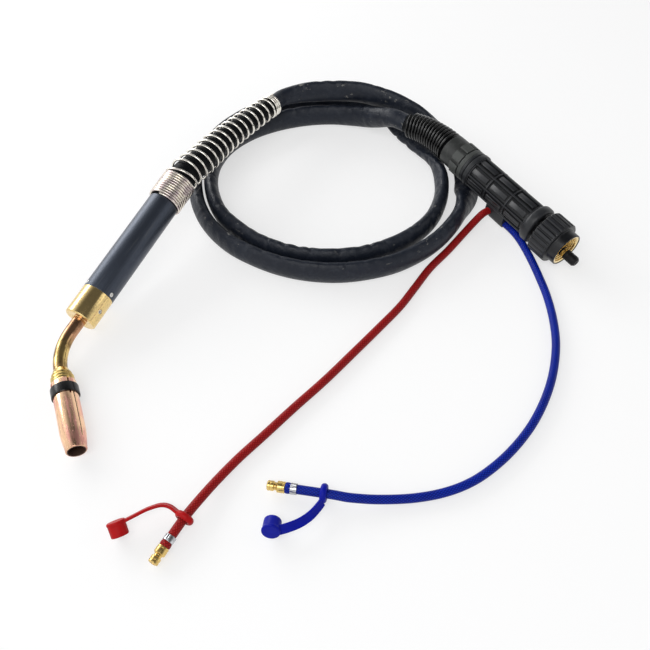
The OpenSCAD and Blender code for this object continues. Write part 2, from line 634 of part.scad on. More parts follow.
// ==== Connector end ====
bend_table = length_table(plug_axis, 80);
bend_axis_length = bend_table[80][0];
bend_radii = [[0, bend_front_radius], [bend_axis_length, bend_end_radius]];
bend_rings = coil_rings(plug_axis, bend_table, bend_turns, bend_wire, bend_radii,
    [[0, bend_start], [bend_turns, bend_axis_length - 6]]);
module bend_spring() {
    echo(str("bend_spring least gap ", coil_gap(bend_rings, bend_wire)));
    color("#101012") skin(bend_rings);
}
module connector_boot() {
    color("#1b1c1f") skin(sleeve_rings(plug_axis, bend_table, 0, bend_axis_length, 8, bend_radii,
        bend_wire));
}
gland_pads = 8;
pad_back_x = gland_front_x - 0.527 * gland_length;
pad_length = 0.338 * gland_length;
pad_width = 12;
module gland_nut() {
    r = gland_od / 2;
    color("#2a2c2f") at_plug() union() {
        turned([[0, gland_back_x], [gland_back_radius - 0.6, gland_back_x],
            [gland_back_radius, gland_back_x + 0.6],
            [r - 1.4, pad_back_x + 0.5], [r - 1.4, gland_front_x - 6], [r - 0.2, gland_front_x - 5.4],
            [r - 0.2, gland_front_x], [0, gland_front_x]]);
        ring_of(gland_pads) translate([pad_back_x, -pad_width / 2, r - 4])
            cube([pad_length, pad_width, 4]);
    }
}
module lock_ring() {
    r = gland_od / 2;
    color("#26282b") at_plug() turned([[0, gland_front_x], [r - 0.8, gland_front_x],
        [r, gland_front_x + 0.8],
        [r, gland_front_x + 3.6], [r - 1.2, gland_front_x + 4.2], [r - 1.2, gland_front_x + 5],
        [r + 0.7, gland_front_x + 5.6], [r + 0.7, housing_back_x - 0.6], [r, housing_back_x],
            [0, housing_back_x]]);
}
rib_width = 2.2;
hoop_width = 1.8;
panel_rows = 3;
row_length = housing_length / panel_rows;
housing_core = housing_od / 2 - 2.6;
housing_root = housing_core - 3;
module housing_body() {
    r = housing_od / 2;
    turned([[0, housing_back_x], [housing_core, housing_back_x], [housing_core, flange_back_x],
        [0, flange_back_x]]);
    for (i = [0:panel_rows])
        translate([housing_back_x + i * row_length - (i > 0 ? hoop_width : 0), 0, 0])
            turned([[0, 0], [r - 0.8, 0], [r - 0.8, hoop_width], [0, hoop_width]]);
    ring_of(housing_ribs) rotate([180 / housing_ribs, 0, 0])
        translate([housing_back_x, -rib_width / 2, housing_root])
            cube([housing_length, rib_width, r - housing_root]);
    for (i = [0:panel_rows - 1])
        ring_of(housing_ribs)
            translate([housing_back_x + i * row_length + 2.5, -plank_width / 2, housing_root])
            cube([row_length - 7, plank_width, housing_core + 1.3 - housing_root]);
}
plank_width = 7;
module housing_upper() {
    color("#222428") at_plug() difference() {
        housing_body();
        translate([housing_back_x - 1, -housing_od, -2 * housing_od])
            cube([housing_length + 2, 2 * housing_od, 2 * housing_od]);
        translate([housing_back_x - 1, 0, 0]) rotate([0, 90, 0])
            cylinder(d = block_od, h = housing_length + 2, $fn = round_facets);
        screw_bars(3);
    }
}
block_od = 18;
module housing_lower() {
    color("#1e2023") at_plug() difference() {
        union() {
            housing_body();
            outlet_block();
        }
        translate([housing_back_x - 1, -housing_od, 0]) cube([housing_length + 2, 2 * housing_od,
            2 * housing_od]);
        translate([housing_back_x - 1, 0, 0]) rotate([0, 90, 0])
            cylinder(d = block_od, h = housing_length + 2, $fn = round_facets);
        screw_bars(3);
    }
}
outlet_depth = 5.5;
outlet_height = water_od + 8.2;
outlet_bevel = 2.2;
// The block under the housing where the two water hoses come out, one to the side and one forward
module outlet_block() {
    length = outlet_front_x - outlet_back_x;
    difference() {
        translate([outlet_back_x, -outlet_half, outlet_z - outlet_depth])
            cube([length, outlet_half + 3, outlet_height]);
        translate([outlet_back_x - 1, -outlet_half, outlet_z - outlet_depth]) rotate([45, 0, 0])
            translate([0, -outlet_bevel / 2, -outlet_bevel / 2])
            cube([length + 2, outlet_bevel, outlet_bevel]);
    }
    translate([outlet_back_x + 6, blue_exit_y, blue_exit_z]) rotate([0, 90, 0])
        cylinder(d = water_od + 2.8, h = length - 6, $fn = 48);
}
screw_x = [flange_back_x - 8, housing_back_x + 8];
housing_screw_od = 3;
screw_y = housing_core - 3.9;
// Half the height of the housing core where the screws cross it
screw_reach = sqrt(housing_core * housing_core - screw_y * screw_y);
// Straight cylinders from a depth below the lower face up to a blind end in the upper half
module screw_bars(below) {
    top = screw_reach - 3.4;
    for (x = screw_x, y = [-screw_y, screw_y])
        translate([x, y, -screw_reach - below])
            cylinder(d = housing_screw_od, h = screw_reach + below + top, $fn = 24);
}
module housing_screws() {
    color("silver") at_plug() screw_bars(0.6);
}
flange_length = 12;
module flange_ring() {
    r = flange_od / 2;
    color("#1d1f22") at_plug() turned([[carrier_od / 2, flange_back_x], [r - 2.2, flange_back_x],
        [r, flange_back_x + 2.6],
        [r, flange_back_x + flange_length - 3], [r - 1, flange_back_x + flange_length - 1],
        [housing_od / 2, flange_back_x + flange_length],
        [carrier_od / 2, flange_back_x + flange_length]]);
}
module current_block() {
    r = block_od / 2;
    waist = [flange_back_x - 0.32 * housing_length, flange_back_x - 0.12 * housing_length];
    color("#b9974f") at_plug() turned([[2.5, housing_back_x], [r, housing_back_x], [r, waist[0]],
        [r - 2, waist[0] + 1], [r - 2, waist[1] - 1], [r, waist[1]], [r, flange_back_x],
        [2.5, flange_back_x]]);
}
shoulder_x = -nut_length + 4.4;
signal_pin_y = 8;
signal_pin_z = 6;
pin_hole_depth = 14;
module contact_carrier() {
    r = carrier_od / 2;
    color("#303235") at_plug() difference() {
        turned([[0, flange_back_x], [r, flange_back_x], [r, shoulder_x], [r + 2, shoulder_x + 0.6],
            [r + 2, shoulder_x + 3], [r, shoulder_x + 3.6], [r, carrier_front_x - 0.8],
                [r - 0.8, carrier_front_x], [0, carrier_front_x]]);
        translate([flange_back_x - 1, 0, -plug_tube_drop]) rotate([0, 90, 0])
            cylinder(d = plug_tube_od, h = carrier_front_x - flange_back_x + 2, $fn = round_facets);
        for (side = [-1, 1])
            translate([carrier_front_x - pin_hole_depth, side * signal_pin_y, signal_pin_z])
                rotate([0, 90, 0])
                cylinder(d = signal_pin_od + 2 * slide_gap, h = pin_hole_depth + 1, $fn = 32);
    }
}
plug_tube_front_x = 13;
module plug_tube() {
    r = plug_tube_od / 2;
    color("#d0a94f") at_plug() translate([0, 0, -plug_tube_drop])
        turned([[2, flange_back_x], [r, flange_back_x],
        [r, carrier_front_x], [r + 2.4, carrier_front_x], [r + 2.4, carrier_front_x + 3],
            [r, carrier_front_x + 4],
        [r, -5], [r - 1, -5], [r - 1, -3], [r, -3], [r, plug_tube_front_x - 1.5],
        [r - 1.2, plug_tube_front_x], [2, plug_tube_front_x]]);
}
module gas_seal() {
    color("#18181a") at_plug() translate([-4, 0, -plug_tube_drop]) rotate([0, 90, 0])
        rotate_extrude($fn = round_facets) translate([plug_tube_od / 2, 0]) circle(r = 0.95, $fn = 24);
}
module signal_pin(side) {
    r = signal_pin_od / 2;
    color("gold") at_plug() translate([0, side * signal_pin_y, signal_pin_z])
        turned([[0, carrier_front_x - 10.5],
        [r, carrier_front_x - 10.5], [r, carrier_front_x + 6], [r - 0.8, carrier_front_x + 7],
            [0, carrier_front_x + 7]]);
}
module signal_pin_a() { signal_pin(-1); }
module signal_pin_b() { signal_pin(1); }
cap_wall = 0.9;
cap_back_x = 1;
module plug_cap() {
    r = plug_tube_od / 2 + slide_gap;
    color("#141416") at_plug() translate([0, 0, -plug_tube_drop])
        turned([[r, cap_back_x], [r + cap_wall, cap_back_x],
        [r + cap_wall, cap_back_x + plug_cap_length - 2.4], [r - 1, cap_back_x + plug_cap_length],
        [2, cap_back_x + plug_cap_length], [1.6, cap_back_x + plug_cap_length - 1],
        [0, cap_back_x + plug_cap_length - 1], [0, plug_tube_front_x + 0.4], [r, plug_tube_front_x + 0.4]]);
}
insert_od = nut_bore + 5;
module union_nut() {
    r = nut_od / 2;
    ring_r = nut_ring_od / 2;
    color("#1c1e22") at_plug() difference() {
        turned([[neck_bore_od / 2, -nut_length], [r - 1.4, -nut_length], [r, -nut_length + 1.4],
            [r, -nut_ring_length - 1.4],
            [r - 1.4, -nut_ring_length], [ring_r + 0.8, -nut_ring_length], [ring_r, -nut_ring_length + 1],
            [ring_r, -0.8], [ring_r - 0.8, 0], [insert_od / 2, 0], [insert_od / 2, -nut_length + 9],
            [carrier_od / 2 + 3, -nut_length + 9], [carrier_od / 2 + 3, -nut_length + 3.6],
                [neck_bore_od / 2, -nut_length + 3.6]]);
        ring_of(nut_flutes) translate([-nut_length - 1, 0, r + 0.5]) rotate([0, 90, 0])
            cylinder(r = 1.7, h = nut_grip_length + 2, $fn = 16);
    }
}
module nut_insert() {
    bore = nut_bore / 2;
    r = insert_od / 2;
    color("#d2a757") at_plug() turned([[bore, -nut_length + 9], [r, -nut_length + 9], [r, -0.6],
        [bore + 0.8, -0.6], [bore, -1.4],
        [bore, -4], [bore + 0.7, -4.7], [bore, -5.4], [bore, -6.6], [bore + 0.7, -7.3], [bore, -8],
        [bore, -9.2], [bore + 0.7, -9.9], [bore, -10.6]]);
}

gas_nozzle();
nozzle_band();
contact_tip();
tip_holder();
gas_diffuser();
neck_nose();
nozzle_insulator();
neck_tube();
wire_liner();
front_collar();
collar_grub_screws();
handle_tube();
tube_screws();
neck_block();
tube_bush();
torch_boot();
kink_spring();
main_hose();
connector_boot();
bend_spring();
gland_nut();
lock_ring();
housing_upper();
housing_lower();
housing_screws();
flange_ring();
current_block();
contact_carrier();
plug_tube();
gas_seal();
signal_pin_a();
signal_pin_b();
plug_cap();
union_nut();
nut_insert();
red_hose();
red_clamp();
red_coupling();
red_dust_cap();
blue_hose();
blue_clamp();
blue_coupling();
blue_dust_cap();
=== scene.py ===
import math

import bmesh
import bpy
import numpy as np
from mathutils import Euler, Matrix, Vector


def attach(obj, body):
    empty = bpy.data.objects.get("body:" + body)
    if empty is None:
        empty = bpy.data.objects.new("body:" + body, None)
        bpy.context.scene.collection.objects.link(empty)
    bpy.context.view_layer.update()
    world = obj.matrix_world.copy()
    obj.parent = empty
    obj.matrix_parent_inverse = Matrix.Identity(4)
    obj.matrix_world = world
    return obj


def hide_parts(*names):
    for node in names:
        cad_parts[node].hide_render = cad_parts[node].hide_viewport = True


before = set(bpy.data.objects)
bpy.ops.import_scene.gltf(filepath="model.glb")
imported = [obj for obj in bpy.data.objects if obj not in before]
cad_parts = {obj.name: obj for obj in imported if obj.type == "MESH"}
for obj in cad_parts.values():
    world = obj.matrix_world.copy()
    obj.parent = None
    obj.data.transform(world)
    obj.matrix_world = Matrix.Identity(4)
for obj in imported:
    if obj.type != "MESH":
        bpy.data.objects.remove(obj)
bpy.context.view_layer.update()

MM = 0.001


# ---- The bench and the view of it ----
# The torch lies on a plain pale bench, seen from in front and well above. The bench is a thin sheet,
# matt, that gets the light and the shadows. It isn't part of the torch.

LENS = 44.31
LOOK_DOWN = 52
BENCH_REACH = 6

camera = bpy.data.objects.new("camera", bpy.data.cameras.new("camera"))
camera.data.sensor_width = 36.0
camera.data.lens = LENS
camera.location = (-0.005, -0.6169, 0.6808)
camera.rotation_euler = (math.radians(90 - LOOK_DOWN), 0, 0)
bpy.context.scene.collection.objects.link(camera)
bpy.context.scene.camera = camera
bpy.context.scene.view_settings.view_transform = "Standard"


class Flow:
    """What comes out of a node of a finish. Sums on it add Math nodes."""

    def __init__(self, finish, socket):
        self.finish = finish
        self.socket = socket

    def sum_of(self, operation, first, second):
        return self.finish.node("Math", {0: first, 1: second}, operation=operation)

    def __add__(self, other):
        return self.sum_of("ADD", self, other)

    def __rsub__(self, other):
        return self.sum_of("SUBTRACT", other, self)

    def __mul__(self, other):
        return self.sum_of("MULTIPLY", self, other)

    __radd__ = __add__
    __rmul__ = __mul__


class Finish:
    """The nodes of one material, or of the room: node() adds any node, shader() ends a material."""

    def __init__(self, name, kind="materials"):
        self.owner = getattr(bpy.data, kind).new(name)
        self.owner.use_nodes = True
        self.tree = self.owner.node_tree
        self.tree.nodes.clear()

    def node(self, kind, values=None, out=0, **settings):
        """Adds a node and gives its output. A value is a Flow, a number, a vector or a colour."""
        made = self.tree.nodes.new("ShaderNode" + kind)
        for key, value in settings.items():
            setattr(made, key, value)
        for key, value in (values or {}).items():
            socket = made.inputs[key]
            if isinstance(value, Flow):
                self.tree.links.new(value.socket, socket)
            else:
                socket.default_value = (*value, 1) if socket.type == "RGBA" else value
        return Flow(self, made.outputs[out]) if made.outputs else None

    def point(self, place=None, stretch=(1, 1, 1)):
        """Object coordinates in metres, in a piece's own frame, stretched along its axes."""
        there = self.node("TexCoord", out="Object")
        if place is not None:
            there = self.node("Mapping", {"Vector": there, "Location": place.to_translation(),
                "Rotation": place.to_euler()}, vector_type="TEXTURE")
        if stretch == (1, 1, 1):
            return there
        return self.node("VectorMath", {0: there, 1: stretch}, operation="MULTIPLY")

    def part(self, where, axis):
        return self.node("SeparateXYZ", {0: where}, out=axis)

    def off_axis(self, where):
        """How far a point lies from the x axis."""
        aside = self.node("VectorMath", {0: where, 1: (0, 1, 1)}, operation="MULTIPLY")
        return self.node("VectorMath", {0: aside}, out="Value", operation="LENGTH")

    def noise(self, where, per_metre, detail=3.0, roughness=0.55):
        return self.node("TexNoise", {"Vector": where, "Scale": per_metre, "Detail": detail,
            "Roughness": roughness})

    def between(self, value, low, high):
        """0 below low, 1 above high, smooth from one to the other."""
        return self.node("MapRange", {"Value": value, "From Min": low, "From Max": high},
            interpolation_type="SMOOTHSTEP", clamp=True)

    def mix(self, share, first, second):
        return self.node("Mix", {0: share, 6: first, 7: second}, out=2, data_type="RGBA")

    def bump(self, height, depth, under=None):
        """A relief this deep, in metres, on top of the one under it."""
        values = {"Height": height, "Distance": depth, "Strength": 1.0}
        if under is not None:
            values["Normal"] = under
        return self.node("Bump", values)

    def shader(self, **values):
        skin = self.node("BsdfPrincipled", {key.replace("_", " "): value for key, value in values.items()})
        self.node("OutputMaterial", {"Surface": skin})
        return self.owner


def bench_finish():
    """White paper to the eye and in reflections, matt grey to the lamps, so that shadows stay."""
    finish = Finish("pale_bench")
    grain = finish.noise(finish.point(), 40.0)
    matt = finish.node("BsdfDiffuse", {"Color": (0.42, 0.42, 0.42)})
    seen = finish.node("LightPath", out="Is Camera Ray")
    reflected = finish.node("LightPath", out="Is Glossy Ray")
    through = finish.node("LightPath", out="Is Transmission Ray")
    paper = finish.node("Emission", {"Color": (1, 1, 1),
        "Strength": (seen + reflected + through) * (grain * 0.004 + 0.6)})
    finish.node("OutputMaterial", {"Surface": finish.node("AddShader", {0: matt, 1: paper})})
    return finish.owner


def linked(name, data):
    thing = bpy.data.objects.new(name, data)
    bpy.context.scene.collection.objects.link(thing)
    return thing


bench_mesh = bpy.data.meshes.new("bench")
corners = [(x * BENCH_REACH, y * BENCH_REACH, 0) for x, y in ((-1, -1), (1, -1), (1, 1), (-1, 1))]
bench_mesh.from_pydata(corners, [], [(0, 1, 2, 3)])
bench_mesh.materials.append(bench_finish())
linked("bench", bench_mesh)


# ---- Sheath ----
# One long cover holds the power cable, the gas hose, the wire liner and the water hoses. It is a flat
# tube of black rubbered cloth, drawn over the bundle, standing on edge in two loops. It wrinkles where
# it bends, and it is dusty and scuffed on top.

# x, y, height and lean
SHEATH_ROUTE = [
    (-70, 235, 50, 0), (-59.37, 249.42, 48.48, 0), (-36, 260, 47.5, 0), (-10, 265, 46.5, 0),
    (16, 266.5, 46, 0), (41, 264.5, 45.5, 0), (63, 258, 44, 0), (83, 251, 40.5, 0),
    (102, 244, 34, 0), (125, 236, 25, 20), (145, 219, 17, 45), (160, 198, 11, 70),
    (169, 172, 8.9, 85), (171, 142, 8.6, 90), (168, 116, 8.9, 86), (163, 93, 13.2, 40),
    (154, 70, 15.2, 0), (142, 49.5, 15.2, 0), (125.5, 28.5, 15.2, 0), (104, 9, 15.2, 0),
    (76, -8, 15.2, 0), (45, -18, 15.2, 0), (12, -23, 15.2, 0), (-22, -21, 15.2, 0),
    (-56, -12, 15.2, 0), (-89, 4, 15.2, 0), (-116, 23, 15.2, 0), (-139, 50, 15.2, 0),
    (-154, 80, 15.2, 0), (-162, 111, 15.2, 0), (-165, 143, 15.2, 0), (-159, 176, 15.2, 0),
    (-146, 207, 15.2, 0), (-127, 234, 15.2, 0), (-99, 259, 15.2, 0), (-62, 276, 15.2, 0),
    (-21, 283, 15.2, 0), (20, 282, 15.2, 0), (54, 273, 14.9, 15), (78, 256, 11.6, 55),
    (96, 236, 9, 90), (111, 213, 9, 90), (124, 191, 9.6, 75), (134, 164, 13.3, 40),
    (138, 134, 15.2, 0), (136, 105, 15.2, 0), (129, 80, 15.2, 0), (118, 58, 15.2, 0),
    (101, 38, 15.2, 0), (78, 20, 15.2, 0), (48, 6, 15.2, 0), (16, -1, 15.2, 0),
    (-17, -1, 15.2, 0), (-50, 7, 15.2, 0), (-79, 21, 15.2, 0), (-105, 42, 15.2, 0),
    (-126, 67, 15.2, 0), (-139, 97, 15.2, 0), (-145, 130, 15.2, 0), (-142, 164, 15.2, 0),
    (-128, 197, 15.2, 0), (-102, 224, 15.2, 0), (-69, 243, 15.2, 0), (-33, 254, 15.2, 0),
    (2, 257, 15.6, 0), (33, 249, 20, 0), (58, 233, 30, 0), (80.75, 216, 42.25, 0), (98, 204, 43, 0)]
SHEATH_HALF_WIDTH = 8.5
SHEATH_HALF_HEIGHT = 15.0
SHEATH_END_ROUND = (10.13, 11.52)
SHEATH_FLAT_RUN = 70.0
# the gaps between folds and the depths of the folds, in the first loop and in the second
FOLDS = (((16, 38), (0.15, 0.7)), ((9, 27), (0.25, 1.5)))
SECOND_LOOP_AT = 1130


def smooth_line(route, step):
    """Points every `step` millimetres along the smooth curve through a route, and their distances."""
    route = np.array(route, float)
    first, last = 2 * route[0] - route[1], 2 * route[-1] - route[-2]
    full = np.vstack([first, route, last])
    share = np.linspace(0, 1, 60, endpoint=False)[:, None]
    runs = []
    for i in range(len(route) - 1):
        a, b, c, d = full[i:i + 4]
        runs.append((2 * b + (c - a) * share + (2 * a - 5 * b + 4 * c - d) * share ** 2
            + (3 * b - a - 3 * c + d) * share ** 3) / 2)
    fine = np.vstack([*runs, route[-1:]])
    along = np.concatenate([[0], np.cumsum(np.linalg.norm(np.diff(fine[:, :3], axis=0), axis=1))])
    count = max(2, int(round(along[-1] / step)))
    distance = np.linspace(0, along[-1], count + 1)
    return np.stack([np.interp(distance, along, column) for column in fine.T], axis=1), distance


def axes_along(line):
    """Direction, upward and sideways axes at each point of a line."""
    ahead = np.gradient(line[:, :3], axis=0)
    ahead /= np.linalg.norm(ahead, axis=1)[:, None]
    up = np.array([0, 0, 1.0]) - ahead * ahead[:, 2:3]
    up /= np.linalg.norm(up, axis=1)[:, None]
    return ahead, up, np.cross(ahead, up)


def full_turn(sides):
    return np.linspace(0, 2 * math.pi, sides, endpoint=False)


def rings_round(line, side, up, wide, tall, turn):
    """Rings of points round a line: ovals with these half axes sideways and upward."""
    return line[:, None, :3] + side[:, None, :] * (wide * np.cos(turn))[:, :, None] \
        - up[:, None, :] * (tall * np.sin(turn))[:, :, None]


def piece(name, points, faces, finish, place=None, edge=38):
    """A mesh from points in millimetres, put in its place, with edges sharper than `edge` degrees kept."""
    mesh = bpy.data.meshes.new(name)
    mesh.from_pydata([tuple(p) for p in np.asarray(points) * MM], [], faces)
    shell = bmesh.new()
    shell.from_mesh(mesh)
    bmesh.ops.remove_doubles(shell, verts=shell.verts, dist=1e-6)
    bmesh.ops.recalc_face_normals(shell, faces=shell.faces)
    shell.to_mesh(mesh)
    shell.free()
    if place is not None:
        mesh.transform(place)
    mesh.polygons.foreach_set("use_smooth", [True] * len(mesh.polygons))
    mesh.set_sharp_from_angle(angle=math.radians(edge))
    if finish is not None:
        mesh.materials.append(finish)
    return linked(name, mesh)


def skin_over(name, rings, finish, lengths=None):
    """A closed skin over rings of points, with a UV map in metres: round the ring, and along it."""
    count, sides = rings.shape[:2]
    faces = [(low + k, low + sides + k, low + sides + (k + 1) % sides, low + (k + 1) % sides)
        for low in range(0, (count - 1) * sides, sides) for k in range(sides)]
    faces.append(tuple(range(sides)))
    faces.append(tuple(range((count - 1) * sides, count * sides)))
    made = piece(name, rings.reshape(-1, 3), faces, finish)
    if lengths is not None:
        girth = np.linalg.norm(rings - np.roll(rings, 1, axis=1), axis=2).sum(axis=1).mean()
        marks = made.data.uv_layers.new(name="run")
        loops = np.zeros(len(made.data.loops), int)
        made.data.loops.foreach_get("vertex_index", loops)
        u = (loops % sides) / sides
        v = loops // sides
        start = np.array([p.loop_start for p in made.data.polygons])
        size = np.array([p.loop_total for p in made.data.polygons])
        owner = np.repeat(np.arange(len(size)), size)
        widest = np.maximum.reduceat(u, start)[owner]
        u = np.where((widest > 0.75) & (u < 0.25) & (size[owner] == 4), u + 1, u)
        marks.data.foreach_set("uv", np.stack([u * girth * MM, lengths[v] * MM], axis=1).ravel())
    return made


def seat(thing, node, body="torch"):
    """Gives a finished piece its body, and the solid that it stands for."""
    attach(thing, body)
    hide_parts(node)
    return thing


def sheath_finish():
    """Blue-black rubbered cloth, dusty in patches, with pale flecks on its upper edge where handled."""
    finish = Finish("rubbered_cloth")
    run = finish.node("UVMap", uv_map="run")
    spot = finish.point()
    upper = finish.between(finish.part(spot, "Z"), 0.022, 0.029)
    cloudy = finish.noise(spot, 26.0, 4.0)
    patch = finish.between(cloudy, 0.36, 0.58)
    dust = finish.between(finish.noise(spot, 130.0, 5.0, 0.65), 0.48, 0.72) * patch
    drawn = finish.node("VectorMath", {0: run, 1: (1, 0.5, 1)}, operation="MULTIPLY")
    fleck = finish.between(finish.noise(drawn, 150.0, 3.0, 0.7), 0.6, 0.67) * upper
    speck = finish.between(finish.noise(drawn, 420.0, 2.0, 0.7), 0.7, 0.76)
    handled = finish.between(finish.noise(spot, 17.0, 2.0), 0.47, 0.6)
    across = finish.node("TexWave", {"Vector": run, "Scale": 21.0, "Distortion": 5.0, "Detail": 2.0,
        "Detail Scale": 1.4}, out="Fac", bands_direction="Y")
    black = finish.mix(cloudy, (0.005, 0.007, 0.0125), (0.0145, 0.0195, 0.032))
    dusty = finish.mix(dust * 0.5, black, (0.043, 0.048, 0.06))
    rubbed = finish.mix((fleck * 0.75 + speck * 0.3) * handled, dusty, (0.25, 0.24, 0.22))
    soft = finish.bump(finish.noise(spot, 150.0, 3.0), 0.0009)
    ridged = finish.bump(across, 0.0004, soft)
    rough = finish.between(cloudy, 0.2, 0.8) * 0.12 + 0.36 + dust * 0.2
    return finish.shader(Base_Color=rubbed, Roughness=rough,
        Normal=finish.bump(finish.noise(spot, 1500.0, 2.0), 0.0001, ridged), Specular_IOR_Level=0.3)


def make_sheath():
    line, distance = smooth_line(SHEATH_ROUTE, 1.5)
    up, side = axes_along(line)[1:]
    length = distance[-1]
    flat = np.clip(np.minimum(distance, length - distance) / SHEATH_FLAT_RUN, 0, 1)
    flat = (flat * flat * (3 - 2 * flat))[:, None]
    end = np.where(distance < length / 2, *SHEATH_END_ROUND)[:, None]
    wide = end * (1 - flat) + SHEATH_HALF_WIDTH * flat
    tall = end * (1 - flat) + SHEATH_HALF_HEIGHT * flat
    lean = np.radians(line[:, 3:4])
    upright = up * np.cos(lean) + side * np.sin(lean)
    beside = side * np.cos(lean) - up * np.sin(lean)
    turn = full_turn(40)[None, :]
    # a bundle inside squares the oval a little
    fullness = 1 - 0.035 * np.sin(2 * turn) ** 2
    # folds pinch the skin at random steps along it, closer and deeper in the second loop, deepest on the
    # upper edge
    chance = np.random.default_rng(7)
    fold = np.zeros((len(distance), turn.shape[1]))
    at = 40.0
    while at < length - 60:
        gaps, depths = FOLDS[at > SECOND_LOOP_AT]
        at += chance.uniform(*gaps)
        depth = chance.uniform(*depths)
        width = chance.uniform(1.8, 5.0)
        skew = chance.uniform(-5, 5)
        centre = -math.pi / 2 + chance.uniform(-0.7, 0.7)
        spread = np.exp(-((np.angle(np.exp(1j * (turn - centre)))) / chance.uniform(0.6, 1.2)) ** 2)
        place = at + skew * np.sin(turn - centre)
        fold += depth * spread * np.exp(-((distance[:, None] - place) / width) ** 2)
    swell = 0.25 * np.sin(distance[:, None] / 23 + 2 * np.sin(turn)) * np.sin(distance[:, None] / 61)
    reach = fullness - (fold - swell * 0.8) * flat / 12
    rings = rings_round(line, beside, upright, wide * reach, tall * reach, turn)
    made = seat(skin_over("sheath", rings, sheath_finish(), distance), "main_hose")


make_sheath()


# ---- Water hoses ----
# Two soft hoses carry the cooling water, blue out and red back. They are braid-covered plastic, and
# each swells where it is pushed over its brass coupling.


def placed(at, turn=(0, 0, 0)):
    """The frame at a point in millimetres, turned by degrees about its axes."""
    return Matrix.LocRotScale(Vector(at) * MM, Euler([math.radians(a) for a in turn]), None)


TORCH_PLACE = placed((-262.5, -95.5, 22.1), (8.3, 10.3, 242.6))
PLUG_PLACE = placed((266, 1.5, 25.1), (0, 5, 307))


def plug_point(x, y, z):
    return tuple(PLUG_PLACE @ (Vector((x, y, z)) * MM) / MM)


RED_ROUTE = [
    plug_point(-103, -19, -16.5), plug_point(-103, -28, -16.5), (172.5, 60.6, 13.6), (156, 43.5, 7.3),
    (137, 20.5, 4.6), (114, -7, 4.6), (95, -36, 4.6), (77, -63, 4.6), (54, -91, 4.6), (26, -124, 4.6),
    (-5, -160, 4.6), (-35, -192, 4.6), (-63, -223, 4.6), (-86, -248, 4.7), (-104, -271, 6.2),
    (-118, -292, 9.2), (-131, -312, 9.9), (-146.3, -338.1, 7.7)]
BLUE_ROUTE = [
    plug_point(-80, -11, -23.6), plug_point(-72, -11, -23.6), (219, 43, 7.3), (225, 29, 5.7),
    (231, 7, 4.6), (236, -20, 4.6), (240, -49, 4.6), (241, -82, 4.6), (238, -115, 4.6), (229, -150, 4.6),
    (216, -181, 4.6), (199, -210, 4.6), (179, -235, 4.6), (157, -256, 4.6), (133, -273, 4.6),
    (107, -284, 4.6), (78, -290, 4.7), (46, -292.5, 6.5), (19, -292.2, 9.4), (0, -289, 10),
    (-41.5, -281.5, 8.3)]
WATER_HOSE_RADIUS = 4.4


def braid_finish(name, deep, bright):
    finish = Finish(name)
    run = finish.node("UVMap", uv_map="run")
    waves = []
    for lean in (0.62, -0.62):
        leaning = finish.node("Mapping", {"Vector": run, "Rotation": (0, 0, lean)})
        waves.append(finish.node("TexWave", {"Vector": leaning, "Scale": 150.0}, out="Fac"))
    weave = waves[0] * waves[1]
    cloudy = finish.noise(finish.point(), 60.0, 3.0)
    tone = finish.mix(finish.between(weave, 0.05, 0.6) * 0.55 + cloudy * 0.4, deep, bright)
    return finish.shader(Base_Color=tone, Roughness=cloudy * 0.2 + 0.3, Normal=finish.bump(weave, 0.00022),
        Specular_IOR_Level=0.16)


def water_hose(name, route, finish):
    """A hose along its route, swollen over the coupling at its end and pinched by the clamp."""
    line, distance = smooth_line(route, 1.2)
    up, side = axes_along(line)[1:]
    left = distance[-1] - distance
    swollen = np.clip(5.4 - left, 0, 1) - 0.66 * np.clip(1.0 - left, 0, 1)
    pinch = 0.3 * np.exp(-((left - 8) / 2.6) ** 2)
    radius = (WATER_HOSE_RADIUS + 0.9 * swollen - pinch)[:, None]
    rings = rings_round(line, side, up, radius, radius, full_turn(24)[None, :])
    made = seat(skin_over(name, rings, finish, distance), name.replace("_water", ""))


def at_hose_end(route, back=0.0):
    """The frame at a hose's end, its x axis out of the hose, or that far back along it."""
    end = Vector(route[-1])
    ahead = (end - Vector(route[-2])).normalized()
    return Matrix.LocRotScale((end - ahead * back) * MM,
        Euler((0, -math.asin(ahead.z), math.atan2(ahead.y, ahead.x))), None)


# ---- Ear clamps ----
# A band of galvanised steel holds each hose on its coupling. Its ear has been pinched shut with
# pincers, which pulled the band tight.


def eased(outline, radius, steps=3):
    """An outline with its sharp corners rounded."""
    made = []
    points = [np.array(p, float) for p in outline]
    for i, corner in enumerate(points):
        before, after = points[i - 1] - corner, points[(i + 1) % len(points)] - corner
        a, b = np.linalg.norm(before), np.linalg.norm(after)
        bend = math.acos(max(-1, min(1, float(before @ after) / (a * b))))
        if bend > math.radians(155) or min(a, b) < 0.02:
            made.append(tuple(corner))
            continue
        cut = min(radius, a * 0.45, b * 0.45)
        start, end = corner + before / a * cut, corner + after / b * cut
        for k in range(steps + 1):
            t = k / steps
            made.append(tuple(start * (1 - t) ** 2 + corner * 2 * t * (1 - t) + end * t * t))
    return made


